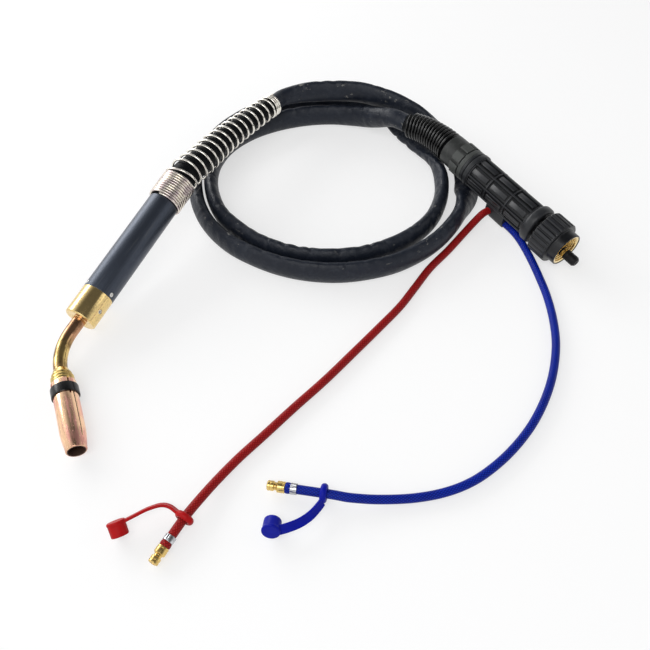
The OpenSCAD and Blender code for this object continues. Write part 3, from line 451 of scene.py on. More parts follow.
def turned(name, outline, place, finish, ease=0.25, sides=96, shape=None):
    """A turned piece on the x axis. The outline goes round once in (radius, place along x); shape may
    change a radius by the angle and the place."""
    outline = np.array([(max(0.0, r), x) for r, x in eased(outline, ease)])
    angle = full_turn(sides)[:, None]
    radius, x = np.broadcast_arrays(outline[None, :, 0], outline[None, :, 1])
    radius = np.repeat(radius, sides, axis=0)
    x = np.repeat(x, sides, axis=0)
    if shape is not None:
        radius = radius + shape(angle, radius, x)
    points = np.stack([x, radius * np.cos(angle), radius * np.sin(angle)], axis=2).reshape(-1, 3)
    n = len(outline)
    faces = [(k * n + i, k * n + (i + 1) % n, (k + 1) % sides * n + (i + 1) % n, (k + 1) % sides * n + i)
        for k in range(sides) for i in range(n)]
    made = piece(name, points, faces, finish, place)
    closed = bmesh.new()
    closed.from_mesh(made.data)
    bmesh.ops.dissolve_degenerate(closed, edges=closed.edges, dist=1e-7)
    closed.to_mesh(made.data)
    closed.free()
    return made


def extruded(name, outline, low, high, place, finish, ease=0.2):
    """A piece whose outline lies across the x axis and runs from low to high along it."""
    outline = eased(outline, ease)
    n = len(outline)
    points = [(x, y, z) for x in (low, high) for y, z in outline]
    faces = [(i, (i + 1) % n, (i + 1) % n + n, i + n) for i in range(n)]
    faces += [tuple(range(n)), tuple(range(n, 2 * n))]
    return piece(name, points, faces, finish, place, edge=50)


def mirrored(half, *middle):
    """An outline from its right half and the points in the middle."""
    return [(-y, z) for y, z in reversed(half)] + [*middle, *half]


def joined(name, pieces):
    """Several meshes as one piece."""
    whole = bmesh.new()
    for each in pieces:
        whole.from_mesh(each.data)
    mesh = bpy.data.meshes.new(name)
    whole.to_mesh(mesh)
    whole.free()
    for finish in pieces[0].data.materials:
        mesh.materials.append(finish)
    for each in pieces:
        bpy.data.objects.remove(each)
    return linked(name, mesh)


def settled(thing):
    """Turns a piece's modifiers into plain mesh."""
    now = thing.evaluated_get(bpy.context.evaluated_depsgraph_get())
    mesh = bpy.data.meshes.new_from_object(now)
    thing.modifiers.clear()
    thing.data = mesh
    return thing


def softened(thing, width, steps=2):
    """Rounds the edges of a piece."""
    edge = thing.modifiers.new("edges", "BEVEL")
    edge.width = width * MM
    edge.segments = steps
    edge.limit_method = "ANGLE"
    edge.angle_limit = math.radians(35)
    edge.harden_normals = True
    bpy.context.view_layer.update()
    return settled(thing)


def steel_finish(name, colour, dark, rough, wear, metal=1.0):
    finish = Finish(name)
    spot = finish.point()
    cloudy = finish.noise(spot, 180.0, 4.0)
    fine = finish.noise(spot, 1400.0, 3.0)
    stain = finish.between(cloudy, 0.35, 0.7) * wear
    return finish.shader(Base_Color=finish.mix(stain, colour, dark), Metallic=metal,
        Roughness=cloudy * 0.18 + rough, Normal=finish.bump(fine, 0.00006))


galvanised = steel_finish("galvanised_steel", (0.62, 0.63, 0.65), (0.13, 0.13, 0.14), 0.14, 0.8)
CLAMP_WIDTH = 6


def ear_clamp(name, route):
    place = at_hose_end(route, 5 + CLAMP_WIDTH)
    r = WATER_HOSE_RADIUS + 0.15
    outline = [(r, 0), (r + 0.8, 0), (r + 0.8, CLAMP_WIDTH), (r, CLAMP_WIDTH)]
    band = turned(name + "_band", outline, place, galvanised, 0.2, 64)
    ear = extruded(name + "_ear", mirrored([(0.35, r + 1.55), (0.9, r + 2.0), (1.5, r + 1.5),
        (1.6, r + 0.3)]), 0.35, CLAMP_WIDTH - 0.35, place, galvanised, 0.3)
    return seat(joined(name + "_steel", [band, ear]), name)


red_clamp = ear_clamp("red_clamp", RED_ROUTE)
blue_clamp = ear_clamp("blue_clamp", BLUE_ROUTE)


# ---- Brass couplings ----
# Each water hose ends in a nipple that snaps into the wire feeder. It is turned from brass bar, with
# a groove behind its head for the balls of the socket.


def turned_brass(name, place, bright=(0.78, 0.56, 0.2), brown=(0.2, 0.11, 0.035), rough=0.16, patches=120.0):
    """Brass off the lathe: fine rings round the axis, and brown tarnish in patches."""
    finish = Finish(name)
    along = finish.noise(finish.point(place, (1, 0.02, 0.02)), 2600.0, 3.0)
    stain = finish.between(finish.noise(finish.point(), patches, 4.0, 0.6), 0.46, 0.78)
    return finish.shader(Base_Color=finish.mix(stain * 0.7, bright, brown), Metallic=1.0,
        Roughness=along * 0.12 + stain * 0.14 + rough, Normal=finish.bump(along, 0.00005))


def coupling(name, route):
    place = at_hose_end(route)
    r, tip, body = 5.5, 4.8, 8.5
    groove = tip - 1.1
    outline = [(0, 0), (r - 0.6, 0), (r, 0.6), (r, 1.7), (r - 0.3, 1.9), (r - 0.3, 2.3), (r, 2.5),
        (r, body - 1.4), (groove, body - 0.2), (groove, body + 1.6), (tip - 0.4, body + 2.1),
        (tip, body + 2.5), (tip, 13.4), (tip - 0.35, 13.6), (tip - 0.35, 14.1), (tip, 14.3), (tip, 16.2),
        (tip - 0.8, 17), (2.6, 17), (2.6, body + 2), (0, body + 2)]
    made = turned(name + "_brass", outline, place, turned_brass(name + "_brass", place), 0.1, 64)
    return seat(made, name)


red_coupling = coupling("red_coupling", RED_ROUTE)
blue_coupling = coupling("blue_coupling", BLUE_ROUTE)


# ---- Dust caps ----
# A cap of soft plastic, moulded in one with its strap and ring, keeps dirt out of each coupling. Here
# both hang open: the ring is loose on the hose, and the cup lies on the bench.


def soft_plastic(name, deep, bright):
    finish = Finish(name)
    spot = finish.point()
    cloudy = finish.noise(spot, 90.0, 3.0)
    fine = finish.noise(spot, 900.0, 4.0)
    return finish.shader(Base_Color=finish.mix(cloudy, deep, bright), Roughness=cloudy * 0.2 + 0.32,
        Normal=finish.bump(fine, 0.0001), Specular_IOR_Level=0.16)


def strap(name, route, along, widths, thick, finish):
    line, distance = smooth_line(route, 0.8)
    ahead = axes_along(line)[0]
    along = np.array(along, float)
    wide = along - ahead * (ahead @ along)[:, None]
    wide /= np.linalg.norm(wide, axis=1)[:, None]
    high = np.cross(ahead, wide)
    half = np.interp(distance / distance[-1], *zip(*widths))[:, None, None] / 2
    section = [(1, 0), (0.94, 0.75), (0.8, 1), (0.4, 0.8), (-0.4, 0.8), (-0.8, 1), (-0.94, 0.75),
        (-1, 0), (-0.94, -0.75), (-0.8, -1), (-0.4, -0.8), (0.4, -0.8), (0.8, -1), (0.94, -0.75)]
    across = np.array([s[0] for s in section])[None, :, None]
    over = np.array([s[1] for s in section])[None, :, None]
    rings = line[:, None, :3] + wide[:, None, :] * across * half + high[:, None, :] * over * thick / 2
    return skin_over(name, rings, finish)


def dust_cap(name, route, ring_back, strap_route, along, cup_at, cup_turn, finish):
    """The ring on the hose, the cup at its place and the strap between them, moulded in one."""
    ring = turned(name + "_ring", [(4.9, -2.6), (6.2, -3.3), (7.6, -3.1), (8.9, -1.9), (9.4, 0), (8.9, 1.9),
        (7.6, 3.1), (6.2, 3.3), (4.9, 2.6)], at_hose_end(route, ring_back), finish, 0.5, 64)
    cup = turned(name + "_cup", [(0, 0), (7.8, 0), (8.7, 0.7), (8.8, 1.8), (8.5, 3.0), (8.3, 3.8),
        (8.2, 13.4), (7.6, 14), (6.2, 14), (5.65, 13.4), (5.65, 3), (0, 3)], placed(cup_at, cup_turn),
        finish, 0.4, 72)
    band = strap(name + "_strap", strap_route, along, [(0, 9.2), (0.5, 9.2), (1, 8.8)], 2.9, finish)
    whole = joined(name + "_moulded", [ring, cup, band])
    fused = whole.modifiers.new("fused", "REMESH")
    fused.mode = "VOXEL"
    fused.voxel_size = 0.36 * MM
    fused.use_smooth_shade = True
    fillet = whole.modifiers.new("fillets", "SMOOTH")
    fillet.iterations = 5
    bpy.context.view_layer.update()
    return seat(settled(whole), name, name.replace("_dust", ""))


red_plastic = soft_plastic("red_soft_plastic", (0.34, 0.002, 0.004), (0.54, 0.006, 0.008))
blue_plastic = soft_plastic("blue_soft_plastic", (0.0005, 0.0035, 0.22), (0.0008, 0.009, 0.42))
red_cap = dust_cap("red_dust_cap", RED_ROUTE, 30.5, [(-184.5, -317, 13.5), (-174, -311, 14),
    (-164, -305, 13.5), (-153, -301, 13), (-145, -302, 12.3), (-137.3, -307.2, 11.5)], (0, -0.62, 0.79),
    (-190.9, -317.3, 15.2), (0, 35, -66), red_plastic)
blue_cap = dust_cap("blue_dust_cap", BLUE_ROUTE, 36,
    [(-48, -325, 12), (-37, -321.5, 11.5), (-26.5, -316.5, 11), (-17.5, -309.5, 10.5), (-10.5, -301, 10),
        (-7.5, -296.5, 10)], (0, 0.79, 0.62), (-53, -327, 12.6), (0, 18, 84), blue_plastic)
red_braid = braid_finish("red_braid", (0.16, 0.003, 0.004), (0.5, 0.014, 0.014))
water_hose("red_water_hose", RED_ROUTE, red_braid)
blue_braid = braid_finish("blue_braid", (0.0006, 0.003, 0.1), (0.0015, 0.034, 0.54))
water_hose("blue_water_hose", BLUE_ROUTE, blue_braid)


# ---- Kink spring and its boot ----
# The steel spring keeps the sheath from kinking behind the handle. It is nickel-plated wire, wound
# close on its seat, then open and tapering, then close again. A black rubber boot runs through it.


def grown(name, source, tree, values, finish):
    """Runs a tree of geometry nodes on a piece and keeps the result as a plain mesh."""
    grow = source.modifiers.new("grow", "NODES")
    grow.node_group = tree
    named = {item.name: item.identifier for item in tree.interface.items_tree if item.in_out == "INPUT"}
    for key, value in {**values, "Finish": finish}.items():
        grow[named[key]] = value
    bpy.context.view_layer.update()
    now = source.evaluated_get(bpy.context.evaluated_depsgraph_get())
    mesh = bpy.data.meshes.new_from_object(now)
    bpy.data.objects.remove(source)
    return linked(name, mesh)


def grower(name, inputs, nodes, links):
    """A tree of geometry nodes: its inputs, its nodes by their kinds, and its links as far as `real`."""
    tree = bpy.data.node_groups.new(name, "GeometryNodeTree")
    for key, kind in {"Geometry": "Geometry", **inputs, "Finish": "Material"}.items():
        tree.interface.new_socket(key, in_out="INPUT", socket_type="NodeSocket" + kind)
    tree.interface.new_socket("Geometry", in_out="OUTPUT", socket_type="NodeSocketGeometry")
    kinds = {"given": "NodeGroupInput", **nodes, "real": "GeometryNodeRealizeInstances",
        "paint": "GeometryNodeSetMaterial", "result": "NodeGroupOutput"}
    made = {key: tree.nodes.new(kind) for key, kind in kinds.items()}
    ending = [("real", "Geometry", "paint", "Geometry"), ("given", "Finish", "paint", "Material"),
        ("paint", "Geometry", "result", "Geometry")]
    for source, out, target, into in links + ending:
        tree.links.new(made[source].outputs[out], made[target].inputs[into])
    return tree, made


# a wire laid along a line of points: a circle swept along them, its ends capped
WIRE, wire_nodes = grower("wire_along_a_line", {"Wire radius": "Float", "Sides": "Int"},
    {"curve": "GeometryNodeMeshToCurve", "circle": "GeometryNodeCurvePrimitiveCircle",
        "sweep": "GeometryNodeCurveToMesh", "smooth": "GeometryNodeSetShadeSmooth"},
    [("given", "Geometry", "curve", "Mesh"), ("given", "Wire radius", "circle", "Radius"),
        ("given", "Sides", "circle", "Resolution"), ("curve", "Curve", "sweep", "Curve"),
        ("circle", "Curve", "sweep", "Profile Curve"), ("sweep", "Mesh", "smooth", "Geometry"),
        ("smooth", "Geometry", "real", "Geometry")])
wire_nodes["sweep"].inputs["Fill Caps"].default_value = True


def wire_through(name, points, radius, sides, finish):
    mesh = bpy.data.meshes.new(name)
    steps = [(i, i + 1) for i in range(len(points) - 1)]
    mesh.from_pydata([tuple(p) for p in np.asarray(points) * MM], steps, [])
    return grown(name, linked(name + "_line", mesh), WIRE, {"Wire radius": radius * MM, "Sides": sides},
        finish)


def wound(axis, turns, reached, radii, per_turn=40):
    """Points of a coil round a bent axis: `reached` gives the length at each turn, `radii` the radius."""
    line, distance = smooth_line(axis, 0.5)
    turn = np.arange(0, turns * per_turn + 1) / per_turn
    run = np.interp(turn, *zip(*reached))
    axes = axes_along(line)
    pick = [np.stack([np.interp(run, distance, column) for column in each.T], axis=1)
        for each in (line, *axes)]
    angle = (turn * 2 * math.pi)[:, None]
    out = pick[2] * np.cos(angle) + pick[3] * np.sin(angle)
    return pick[0] + out * np.interp(run, *zip(*radii))[:, None]


def torch_point(x, y=0.0, z=0.0):
    return tuple(TORCH_PLACE @ (Vector((x, y, z)) * MM) / MM)


SPRING_AXIS = [torch_point(-165), torch_point(-197.55), torch_point(-211.55), (-152, 112, 59),
    (-131.8, 147, 57.5), (-111.7, 177.5, 55.5), (-91, 206.5, 53), (-70, 235, 50)]
SPRING_RADII = [(0, 18.8), (32.55, 18.8), (221.952, 12.6)]


def nickel_finish():
    """Bright nickel, with a film of purple-brown and pale gold on the close turns by the handle."""
    finish = Finish("nickel_wire")
    spot = finish.point()
    close = finish.between(finish.part(finish.point(TORCH_PLACE), "X"), -0.206, -0.194)
    cloudy = finish.noise(spot, 110.0, 4.0)
    film = finish.mix(finish.between(cloudy, 0.4, 0.62), (0.84, 0.76, 0.64), (0.56, 0.46, 0.46))
    stain = finish.between(cloudy, 0.46, 0.64)
    bright = finish.mix(stain * 0.5, (0.93, 0.9, 0.82), (0.36, 0.3, 0.28))
    draw = finish.noise(spot, 1100.0, 2.0)
    return finish.shader(Base_Color=finish.mix(close * 0.8, bright, film), Metallic=1.0,
        Roughness=cloudy * 0.14 + 0.14, Normal=finish.bump(draw, 0.00003))


kink_spring = wire_through("kink_spring_wire", wound(SPRING_AXIS, 30,
    [(0, 1.08), (10.5, 33.63), (26.5, 210.022), (30, 220.872)], SPRING_RADII), 1.38, 12, nickel_finish())
seat(kink_spring, "kink_spring")


def rubber_finish(name, tone, grain, rough, gloss):
    finish = Finish(name)
    spot = finish.point()
    cloudy = finish.noise(spot, 70.0, 4.0)
    dust = finish.between(finish.noise(spot, 260.0, 4.0, 0.7), 0.55, 0.8)
    fine = finish.noise(spot, 1300.0, 3.0)
    light = tuple(c * 4.0 + 0.003 for c in tone)
    return finish.shader(Base_Color=finish.mix(dust * 0.3 + cloudy * 0.1, tone, light),
        Roughness=cloudy * 0.2 + rough, Normal=finish.bump(fine, 0.0001 * grain), Specular_IOR_Level=gloss)


def sleeve(name, axis, start, end, radii, inset, finish):
    """A soft round sleeve inside a coil, with slight folds."""
    line, distance = smooth_line(axis, 1.0)
    keep = (distance >= start) & (distance <= end)
    line, distance = line[keep], distance[keep]
    up, side = axes_along(line)[1:]
    turn = full_turn(48)[None, :]
    radius = np.interp(distance, *zip(*radii))[:, None] - inset
    radius = radius - 0.28 * (0.5 + 0.5 * np.sin(distance[:, None] / 1.9 + 1.3 * np.sin(2 * turn)))
    return skin_over(name, rings_round(line, side, up, radius, radius, turn), finish)


boot_rubber = rubber_finish("boot_rubber", (0.0025, 0.003, 0.004), 1.0, 0.4, 0.12)
seat(sleeve("torch_boot_sleeve", SPRING_AXIS, 32.55, 221.9, SPRING_RADII, 2.5, boot_rubber),
    "torch_boot")


# ---- Handle tube ----
# The body of the torch is a plain tube of dark slate anodised aluminium, made to sit in a machine's
# clamp. It is turned smooth, sealed with a satin skin, and carries a few fine scratches.

HANDLE_RADIUS = 17.5
HANDLE_BORE = 15.5
HANDLE_BACK = -165
COLLAR_BACK = -34
SCREW_AT = -38


def handle_finish():
    finish = Finish("slate_anodised")
    streak = finish.noise(finish.point(TORCH_PLACE, (0.05, 1, 1)), 420.0, 3.0)
    spot = finish.point()
    cloudy = finish.noise(spot, 34.0, 4.0)
    speck = finish.between(finish.noise(finish.point(TORCH_PLACE, (0.5, 1, 1)), 520.0, 2.0), 0.76, 0.8)
    slate = finish.mix(cloudy, (0.033, 0.042, 0.061), (0.051, 0.064, 0.093))
    dusty = finish.mix(finish.between(streak, 0.5, 0.8) * 0.3, slate, (0.16, 0.17, 0.18))
    return finish.shader(Base_Color=finish.mix(speck * 0.6, dusty, (0.34, 0.36, 0.38)),
        Metallic=0.85, Roughness=streak * 0.12 + 0.36 + cloudy * 0.08, Normal=finish.bump(streak, 0.00005),
        Coat_Weight=0.55, Coat_Roughness=0.4)


def cut_away(thing, cutters):
    """Cuts shapes out of a piece and throws the cutters away."""
    for i, cutter in enumerate(cutters):
        cut = thing.modifiers.new(f"cut_{i}", "BOOLEAN")
        cut.operation = "DIFFERENCE"
        cut.solver = "EXACT"
        cut.object = cutter
    bpy.context.view_layer.update()
    settled(thing)
    for cutter in cutters:
        bpy.data.objects.remove(cutter)
    thing.data.set_sharp_from_angle(angle=math.radians(38))


def standing(name, radius, low, high, place, sides):
    """A round pin that stands on the z axis of a place."""
    points = [(radius * math.cos(a), radius * math.sin(a), z) for z in (low, high) for a in full_turn(sides)]
    faces = [(i, (i + 1) % sides, (i + 1) % sides + sides, i + sides) for i in range(sides)]
    faces += [tuple(range(sides)), tuple(range(sides, 2 * sides))]
    return piece(name, points, faces, None, place)


handle = turned("handle_tube_body", [(HANDLE_BORE, HANDLE_BACK), (HANDLE_RADIUS, HANDLE_BACK),
    (HANDLE_RADIUS, COLLAR_BACK), (HANDLE_BORE, COLLAR_BACK)], TORCH_PLACE, handle_finish(), 0.35, 128)
for degrees in (-84, 36, 156):
    sink = TORCH_PLACE @ placed((SCREW_AT, 0, 0), (degrees, 0, 0))
    cut_away(handle, [standing("sink", 2.8, 15.0, 19.0, sink, 40)])
seat(handle, "handle_tube")


# ---- Screws of the handle ----
# Three small plated screws hold the tube to the block inside it, and two grub screws clamp the collar
# on the neck. Each kind is one screw set several times round the handle.

# copies of a piece set evenly round the x axis of a place
ROUND, round_nodes = grower("set_round_the_axis", {"Count": "Int", "First turn": "Float"},
    {"line": "GeometryNodeMeshLine", "index": "GeometryNodeInputIndex", "step": "ShaderNodeMath",
        "angle": "ShaderNodeMath", "turn": "ShaderNodeCombineXYZ",
        "copies": "GeometryNodeInstanceOnPoints"},
    [("given", "Count", "line", "Count"), ("index", "Index", "step", 0), ("given", "Count", "step", 1),
        ("step", 0, "angle", 0), ("given", "First turn", "angle", 2), ("angle", 0, "turn", "X"),
        ("line", "Mesh", "copies", "Points"), ("given", "Geometry", "copies", "Instance"),
        ("turn", "Vector", "copies", "Rotation"), ("copies", "Instances", "real", "Geometry")])
round_nodes["line"].inputs["Offset"].default_value = (0, 0, 0)
round_nodes["step"].operation = "DIVIDE"
round_nodes["angle"].operation = "MULTIPLY_ADD"
round_nodes["angle"].inputs[1].default_value = 2 * math.pi


def set_round(name, one, count, first_degrees, place, finish):
    """Sets copies of a piece made on the axis's own frame round it, then puts them in their place."""
    made = grown(name, one, ROUND, {"Count": count, "First turn": math.radians(first_degrees)}, finish)
    made.data.transform(place)
    return made


plated = steel_finish("plated_screws", (0.88, 0.87, 0.84), (0.5, 0.49, 0.46), 0.24, 0.3, 0.35)
screw = softened(standing("screw", 2.5, 10.6, 17.3, placed((SCREW_AT, 0, 0)), 48), 0.3)
cut_away(screw, [extruded("cross", [(-half, 16.3), (half, 16.3), (half, 19), (-half, 19)],
    SCREW_AT - reach, SCREW_AT + reach, None, None, 0.02) for half, reach in ((0.4, 1.4), (1.4, 0.4))])
seat(set_round("tube_screw_set", screw, 3, -84, TORCH_PLACE, plated), "tube_screws")

GRUB_AT = (-16, 0, 0)
grub = softened(standing("grub", 2.45, 7.4, 17.1, placed(GRUB_AT), 48), 0.4)
cut_away(grub, [standing("hexagon", 1.45, 14.0, 18.0, placed(GRUB_AT), 6)])
seat(set_round("grub_screw_set", grub, 2, -86, TORCH_PLACE, plated), "collar_grub_screws")


# ---- Front collar ----
# A solid brass collar closes the front of the tube and holds the neck. It is turned, left bare, and
# has dulled in patches from heat and hands.

NECK_RADIUS = 7.2
collar_brass = turned_brass("collar_brass", TORCH_PLACE, (0.86, 0.64, 0.28), (0.34, 0.23, 0.13), 0.1, 560.0)
collar = turned("front_collar_brass", [(NECK_RADIUS, COLLAR_BACK), (HANDLE_RADIUS, COLLAR_BACK),
    (HANDLE_RADIUS, -1.2), (16.3, 0), (9.2, 0), (8.9, -0.5), (8.3, -0.5), (8.0, 0), (NECK_RADIUS, 0)],
    TORCH_PLACE, collar_brass, 0.3, 128)
for degrees in (-86, 94):
    hole = TORCH_PLACE @ placed(GRUB_AT, (degrees, 0, 0))
    cut_away(collar, [standing("grub_hole", 2.62, 8.0, 20.0, hole, 40)])
seat(collar, "front_collar")


# ---- Neck ----
# The swan neck is a drawn brass tube, bent once. Heat has turned it copper-red behind the collar, and
# the brass nose on its end steps up to carry the gas nozzle.

NECK_STRAIGHT = 15
NECK_BEND = 48
NECK_BEND_RADIUS = 58


def bend_point(degrees):
    """A point of the neck's bend, in the torch's frame."""
    a = math.radians(degrees)
    return NECK_STRAIGHT + NECK_BEND_RADIUS * math.sin(a), NECK_BEND_RADIUS * (1 - math.cos(a)), 0


NOZZLE_PLACE = TORCH_PLACE @ placed(bend_point(NECK_BEND), (0, 0, NECK_BEND))


def neck_finish():
    finish = Finish("heat_tinted_brass")
    along = finish.part(finish.point(TORCH_PLACE), "X")
    cloudy = finish.noise(finish.point(TORCH_PLACE, (0.5, 1, 1)), 75.0, 4.0, 0.6)
    heat = 1.0 - finish.between(along + cloudy * 0.02, 0.024, 0.05)
    nose = finish.between(along + cloudy * 0.01, 0.052, 0.064) * 0.5
    stain = finish.between(cloudy, 0.42, 0.62)
    tint = finish.mix(finish.between(heat + nose, 0.0, 1.0) * 0.8, (0.74, 0.53, 0.2), (0.5, 0.24, 0.16))
    fine = finish.noise(finish.point(TORCH_PLACE, (0.08, 1, 1)), 900.0, 3.0)
    return finish.shader(Base_Color=finish.mix(stain * 0.8, tint, (0.13, 0.065, 0.03)), Metallic=1.0,
        Roughness=fine * 0.1 + stain * 0.12 + 0.08, Normal=finish.bump(fine, 0.00005))


def make_neck():
    flat = [(COLLAR_BACK, 0, 0), (-16, 0, 0), (0, 0, 0), (7, 0, 0)]
    flat += [bend_point(a) for a in range(0, NECK_BEND + 1, 2)]
    line = np.array([torch_point(*p) for p in flat])
    up, side = axes_along(line)[1:]
    rings = rings_round(line, side, up, NECK_RADIUS, NECK_RADIUS, full_turn(64)[None, :])
    seat(skin_over("neck_tube_brass", rings, neck_finish()), "neck_tube")


make_neck()
nose_brass = turned_brass("nose_brass", NOZZLE_PLACE, (0.66, 0.48, 0.17), (0.2, 0.11, 0.04), 0.1)
nose = turned("neck_nose_brass", [(2.9, 0), (7.8, 0), (8.2, 0.8), (9.4, 5), (10.3, 5.6), (10.3, 7.2),
    (9.9, 7.5), (9.9, 8.0), (10.3, 8.4), (10.5, 9), (11.7, 9.8), (11.7, 12.2), (11.3, 12.5), (11.3, 12.9),
    (11.7, 13.2), (11.7, 15.6), (10.9, 16.6), (7.2, 16.6), (7.2, 28.6), (2.9, 28.6)], NOZZLE_PLACE,
    nose_brass, 0.25, 96)
seat(nose, "neck_nose")


# ---- Gas nozzle ----
# The nozzle is a thick copper tube with a tapered front and a rounded rim. Four slots at its back let
# it spring over the insulator, under a black plastic band. Welding heat has coloured it.


def copper_finish():
    """Drawn copper, clean in long streaks between films of mauve oxide with dark drips, sooty inside."""
    finish = Finish("used_copper")
    here = finish.point(NOZZLE_PLACE)
    along = finish.part(here, "X")
    drawn = finish.noise(finish.point(NOZZLE_PLACE, (0.05, 1, 1)), 330.0, 3.0)
    cloudy = finish.noise(finish.point(NOZZLE_PLACE, (0.3, 1, 1)), 130.0, 4.0, 0.6)
    film = finish.between(cloudy * 0.5 + drawn * 0.5, 0.45, 0.57)
    drip = finish.between(finish.noise(finish.point(NOZZLE_PLACE, (0.12, 1, 1)), 430.0, 3.0), 0.58, 0.68)
    burnt = finish.between(along + cloudy * 0.03, 0.098, 0.117)
    pit = finish.between(finish.noise(finish.point(), 760.0, 2.0), 0.68, 0.74)
    flared = finish.off_axis(here) + finish.between(along, 0.085, 0.095) * 0.002
    bore = 1.0 - finish.between(flared, 0.0108, 0.0113)
    rose = finish.mix(film * 0.85, (0.98, 0.64, 0.4), (0.84, 0.39, 0.34))
    marked = finish.mix(burnt * 0.4 + pit * 0.35 + drip * 0.4, rose, (0.24, 0.09, 0.06))
    sooty = finish.mix(bore * 0.92, marked, (0.02, 0.006, 0.005))
    return finish.shader(Base_Color=sooty, Metallic=1.0 - bore * 0.6,
        Roughness=drawn * 0.1 + film * 0.24 + bore * 0.3 + 0.08,
        Normal=finish.bump(pit, -0.00012, finish.bump(drawn, 0.00005)))


nozzle = turned("gas_nozzle_copper", [(10.5, 16.6), (12.5, 16.6), (12.5, 50), (12.5, 74.6), (12.15, 80),
    (11.6, 84.5), (10.3, 95.0), (10.35, 95.8), (9.6, 96.6), (8, 96.6), (8, 90.6), (10.5, 74.6)],
    NOZZLE_PLACE, copper_finish(), 0.4, 128)
SLOT = [(-0.9, 9.5), (0.9, 9.5), (0.9, 14), (-0.9, 14)]
for degrees in (45, 135, 225, 315):
    turn = NOZZLE_PLACE @ placed((0, 0, 0), (degrees, 0, 0))
    cut_away(nozzle, [extruded("slot", SLOT, 15, 36.6, turn, None, 0.05)])
seat(nozzle, "gas_nozzle", "nozzle")

band_plastic = rubber_finish("band_plastic", (0.0025, 0.0025, 0.003), 0.3, 0.14, 0.4)
seat(turned("nozzle_band_plastic", [(12.5, 22.6), (13.6, 22.6), (14, 23.2), (14, 33.0), (13.6, 33.6),
    (12.5, 33.6)], NOZZLE_PLACE, band_plastic, 0.2, 96), "nozzle_band", "nozzle")

tip_copper = turned_brass("tip_copper", NOZZLE_PLACE, (0.42, 0.15, 0.09), (0.12, 0.03, 0.02), 0.3)
seat(turned("contact_tip_copper", [(0.8, 59.6), (5, 59.6), (5, 81.6), (3.4, 87.6), (1.2, 87.6), (0.8, 87.0)],
    NOZZLE_PLACE, tip_copper, 0.2, 48), "contact_tip")


# ---- Inside the torch ----
# Behind the tip sit its brass holder, the ceramic diffuser, the red-brown insulator and the steel wire
# liner. The brass block and the black bush fill the two ends of the handle tube.


def painted(node, finish):
    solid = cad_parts[node]
    solid.data.materials.clear()
    solid.data.materials.append(finish)


def fired_finish(name, colour, deep):
    finish = Finish(name)
    spot = finish.point()
    cloudy = finish.noise(spot, 140.0, 4.0)
    return finish.shader(Base_Color=finish.mix(cloudy, colour, deep), Roughness=cloudy * 0.2 + 0.45,
        Normal=finish.bump(finish.noise(spot, 900.0), 0.00008))


inner_brass = turned_brass("inner_brass", NOZZLE_PLACE)
painted("tip_holder", inner_brass)
painted("gas_diffuser", fired_finish("ivory_ceramic", (0.72, 0.67, 0.55), (0.5, 0.44, 0.33)))
painted("nozzle_insulator", fired_finish("insulator_red", (0.24, 0.035, 0.02), (0.13, 0.02, 0.012)))
painted("wire_liner", galvanised)
painted("neck_block", inner_brass)
painted("tube_bush", boot_rubber)


# ---- Bend spring and boot of the connector ----
# Behind the connector the sheath leaves through a black boot inside a spring of black-lacquered wire,
# wound open, whose first turn sits on the gland.

BEND_AXIS = [plug_point(-194, 0, 0), plug_point(-210, 0, 0), (121, 188, 44), (98, 204, 43)]
BEND_RADII = [(0, 17.45), (71.3408, 14.4)]
lacquer = rubber_finish("black_lacquer", (0.001, 0.001, 0.0013), 0.1, 0.06, 0.45)
bend_spring = wire_through("bend_spring_wire", wound(BEND_AXIS, 14, [(0, 1.2), (14, 65.3408)], BEND_RADII),
    1.5, 14, lacquer)
seat(bend_spring, "bend_spring")
seat(sleeve("connector_boot_sleeve", BEND_AXIS, 0, 71.3, BEND_RADII, 2.9, boot_rubber),
    "connector_boot")


# ---- Gland nut and lock ring ----
# The gland nut screws into the housing and grips the boot. It is moulded in black plastic with eight
# flat pads for the hand, and the lock ring in front of it has two collars.


def moulded_finish(name, tone, worn_and_lit_tone, raised, rough=0.22):
    """Black moulded plastic: fine spark texture, greyer where it is handled, and lighter past the radius
    raised, which is painted light on the raised faces that leaves painted shade in the recesses below it.
    """
    finish = Finish(name)
    spot = finish.point(PLUG_PLACE)
    cloudy = finish.noise(spot, 55.0, 4.0, 0.6)
    fine = finish.noise(spot, 1700.0, 2.0)
    # painted light: past the radius raised the moulding is drawn lighter, as if lit on its raised faces, so
    # that gaps, grooves and recesses below it keep a painted shade
    painted_lit_raised = finish.between(finish.off_axis(spot), (raised - 0.5) * MM, raised * MM)
    # handled mixes real handling wear in patches with that painted light on the raised faces
    handled = finish.between(finish.noise(spot, 150.0, 5.0, 0.7), 0.48, 0.75) * 0.5 + painted_lit_raised * 0.7
    return finish.shader(Base_Color=finish.mix(handled, tone, worn_and_lit_tone),
        Roughness=cloudy * 0.2 + rough + handled * 0.1, Specular_IOR_Level=0.42,
        Normal=finish.bump(fine, 0.00006, finish.bump(cloudy, 0.0003)))


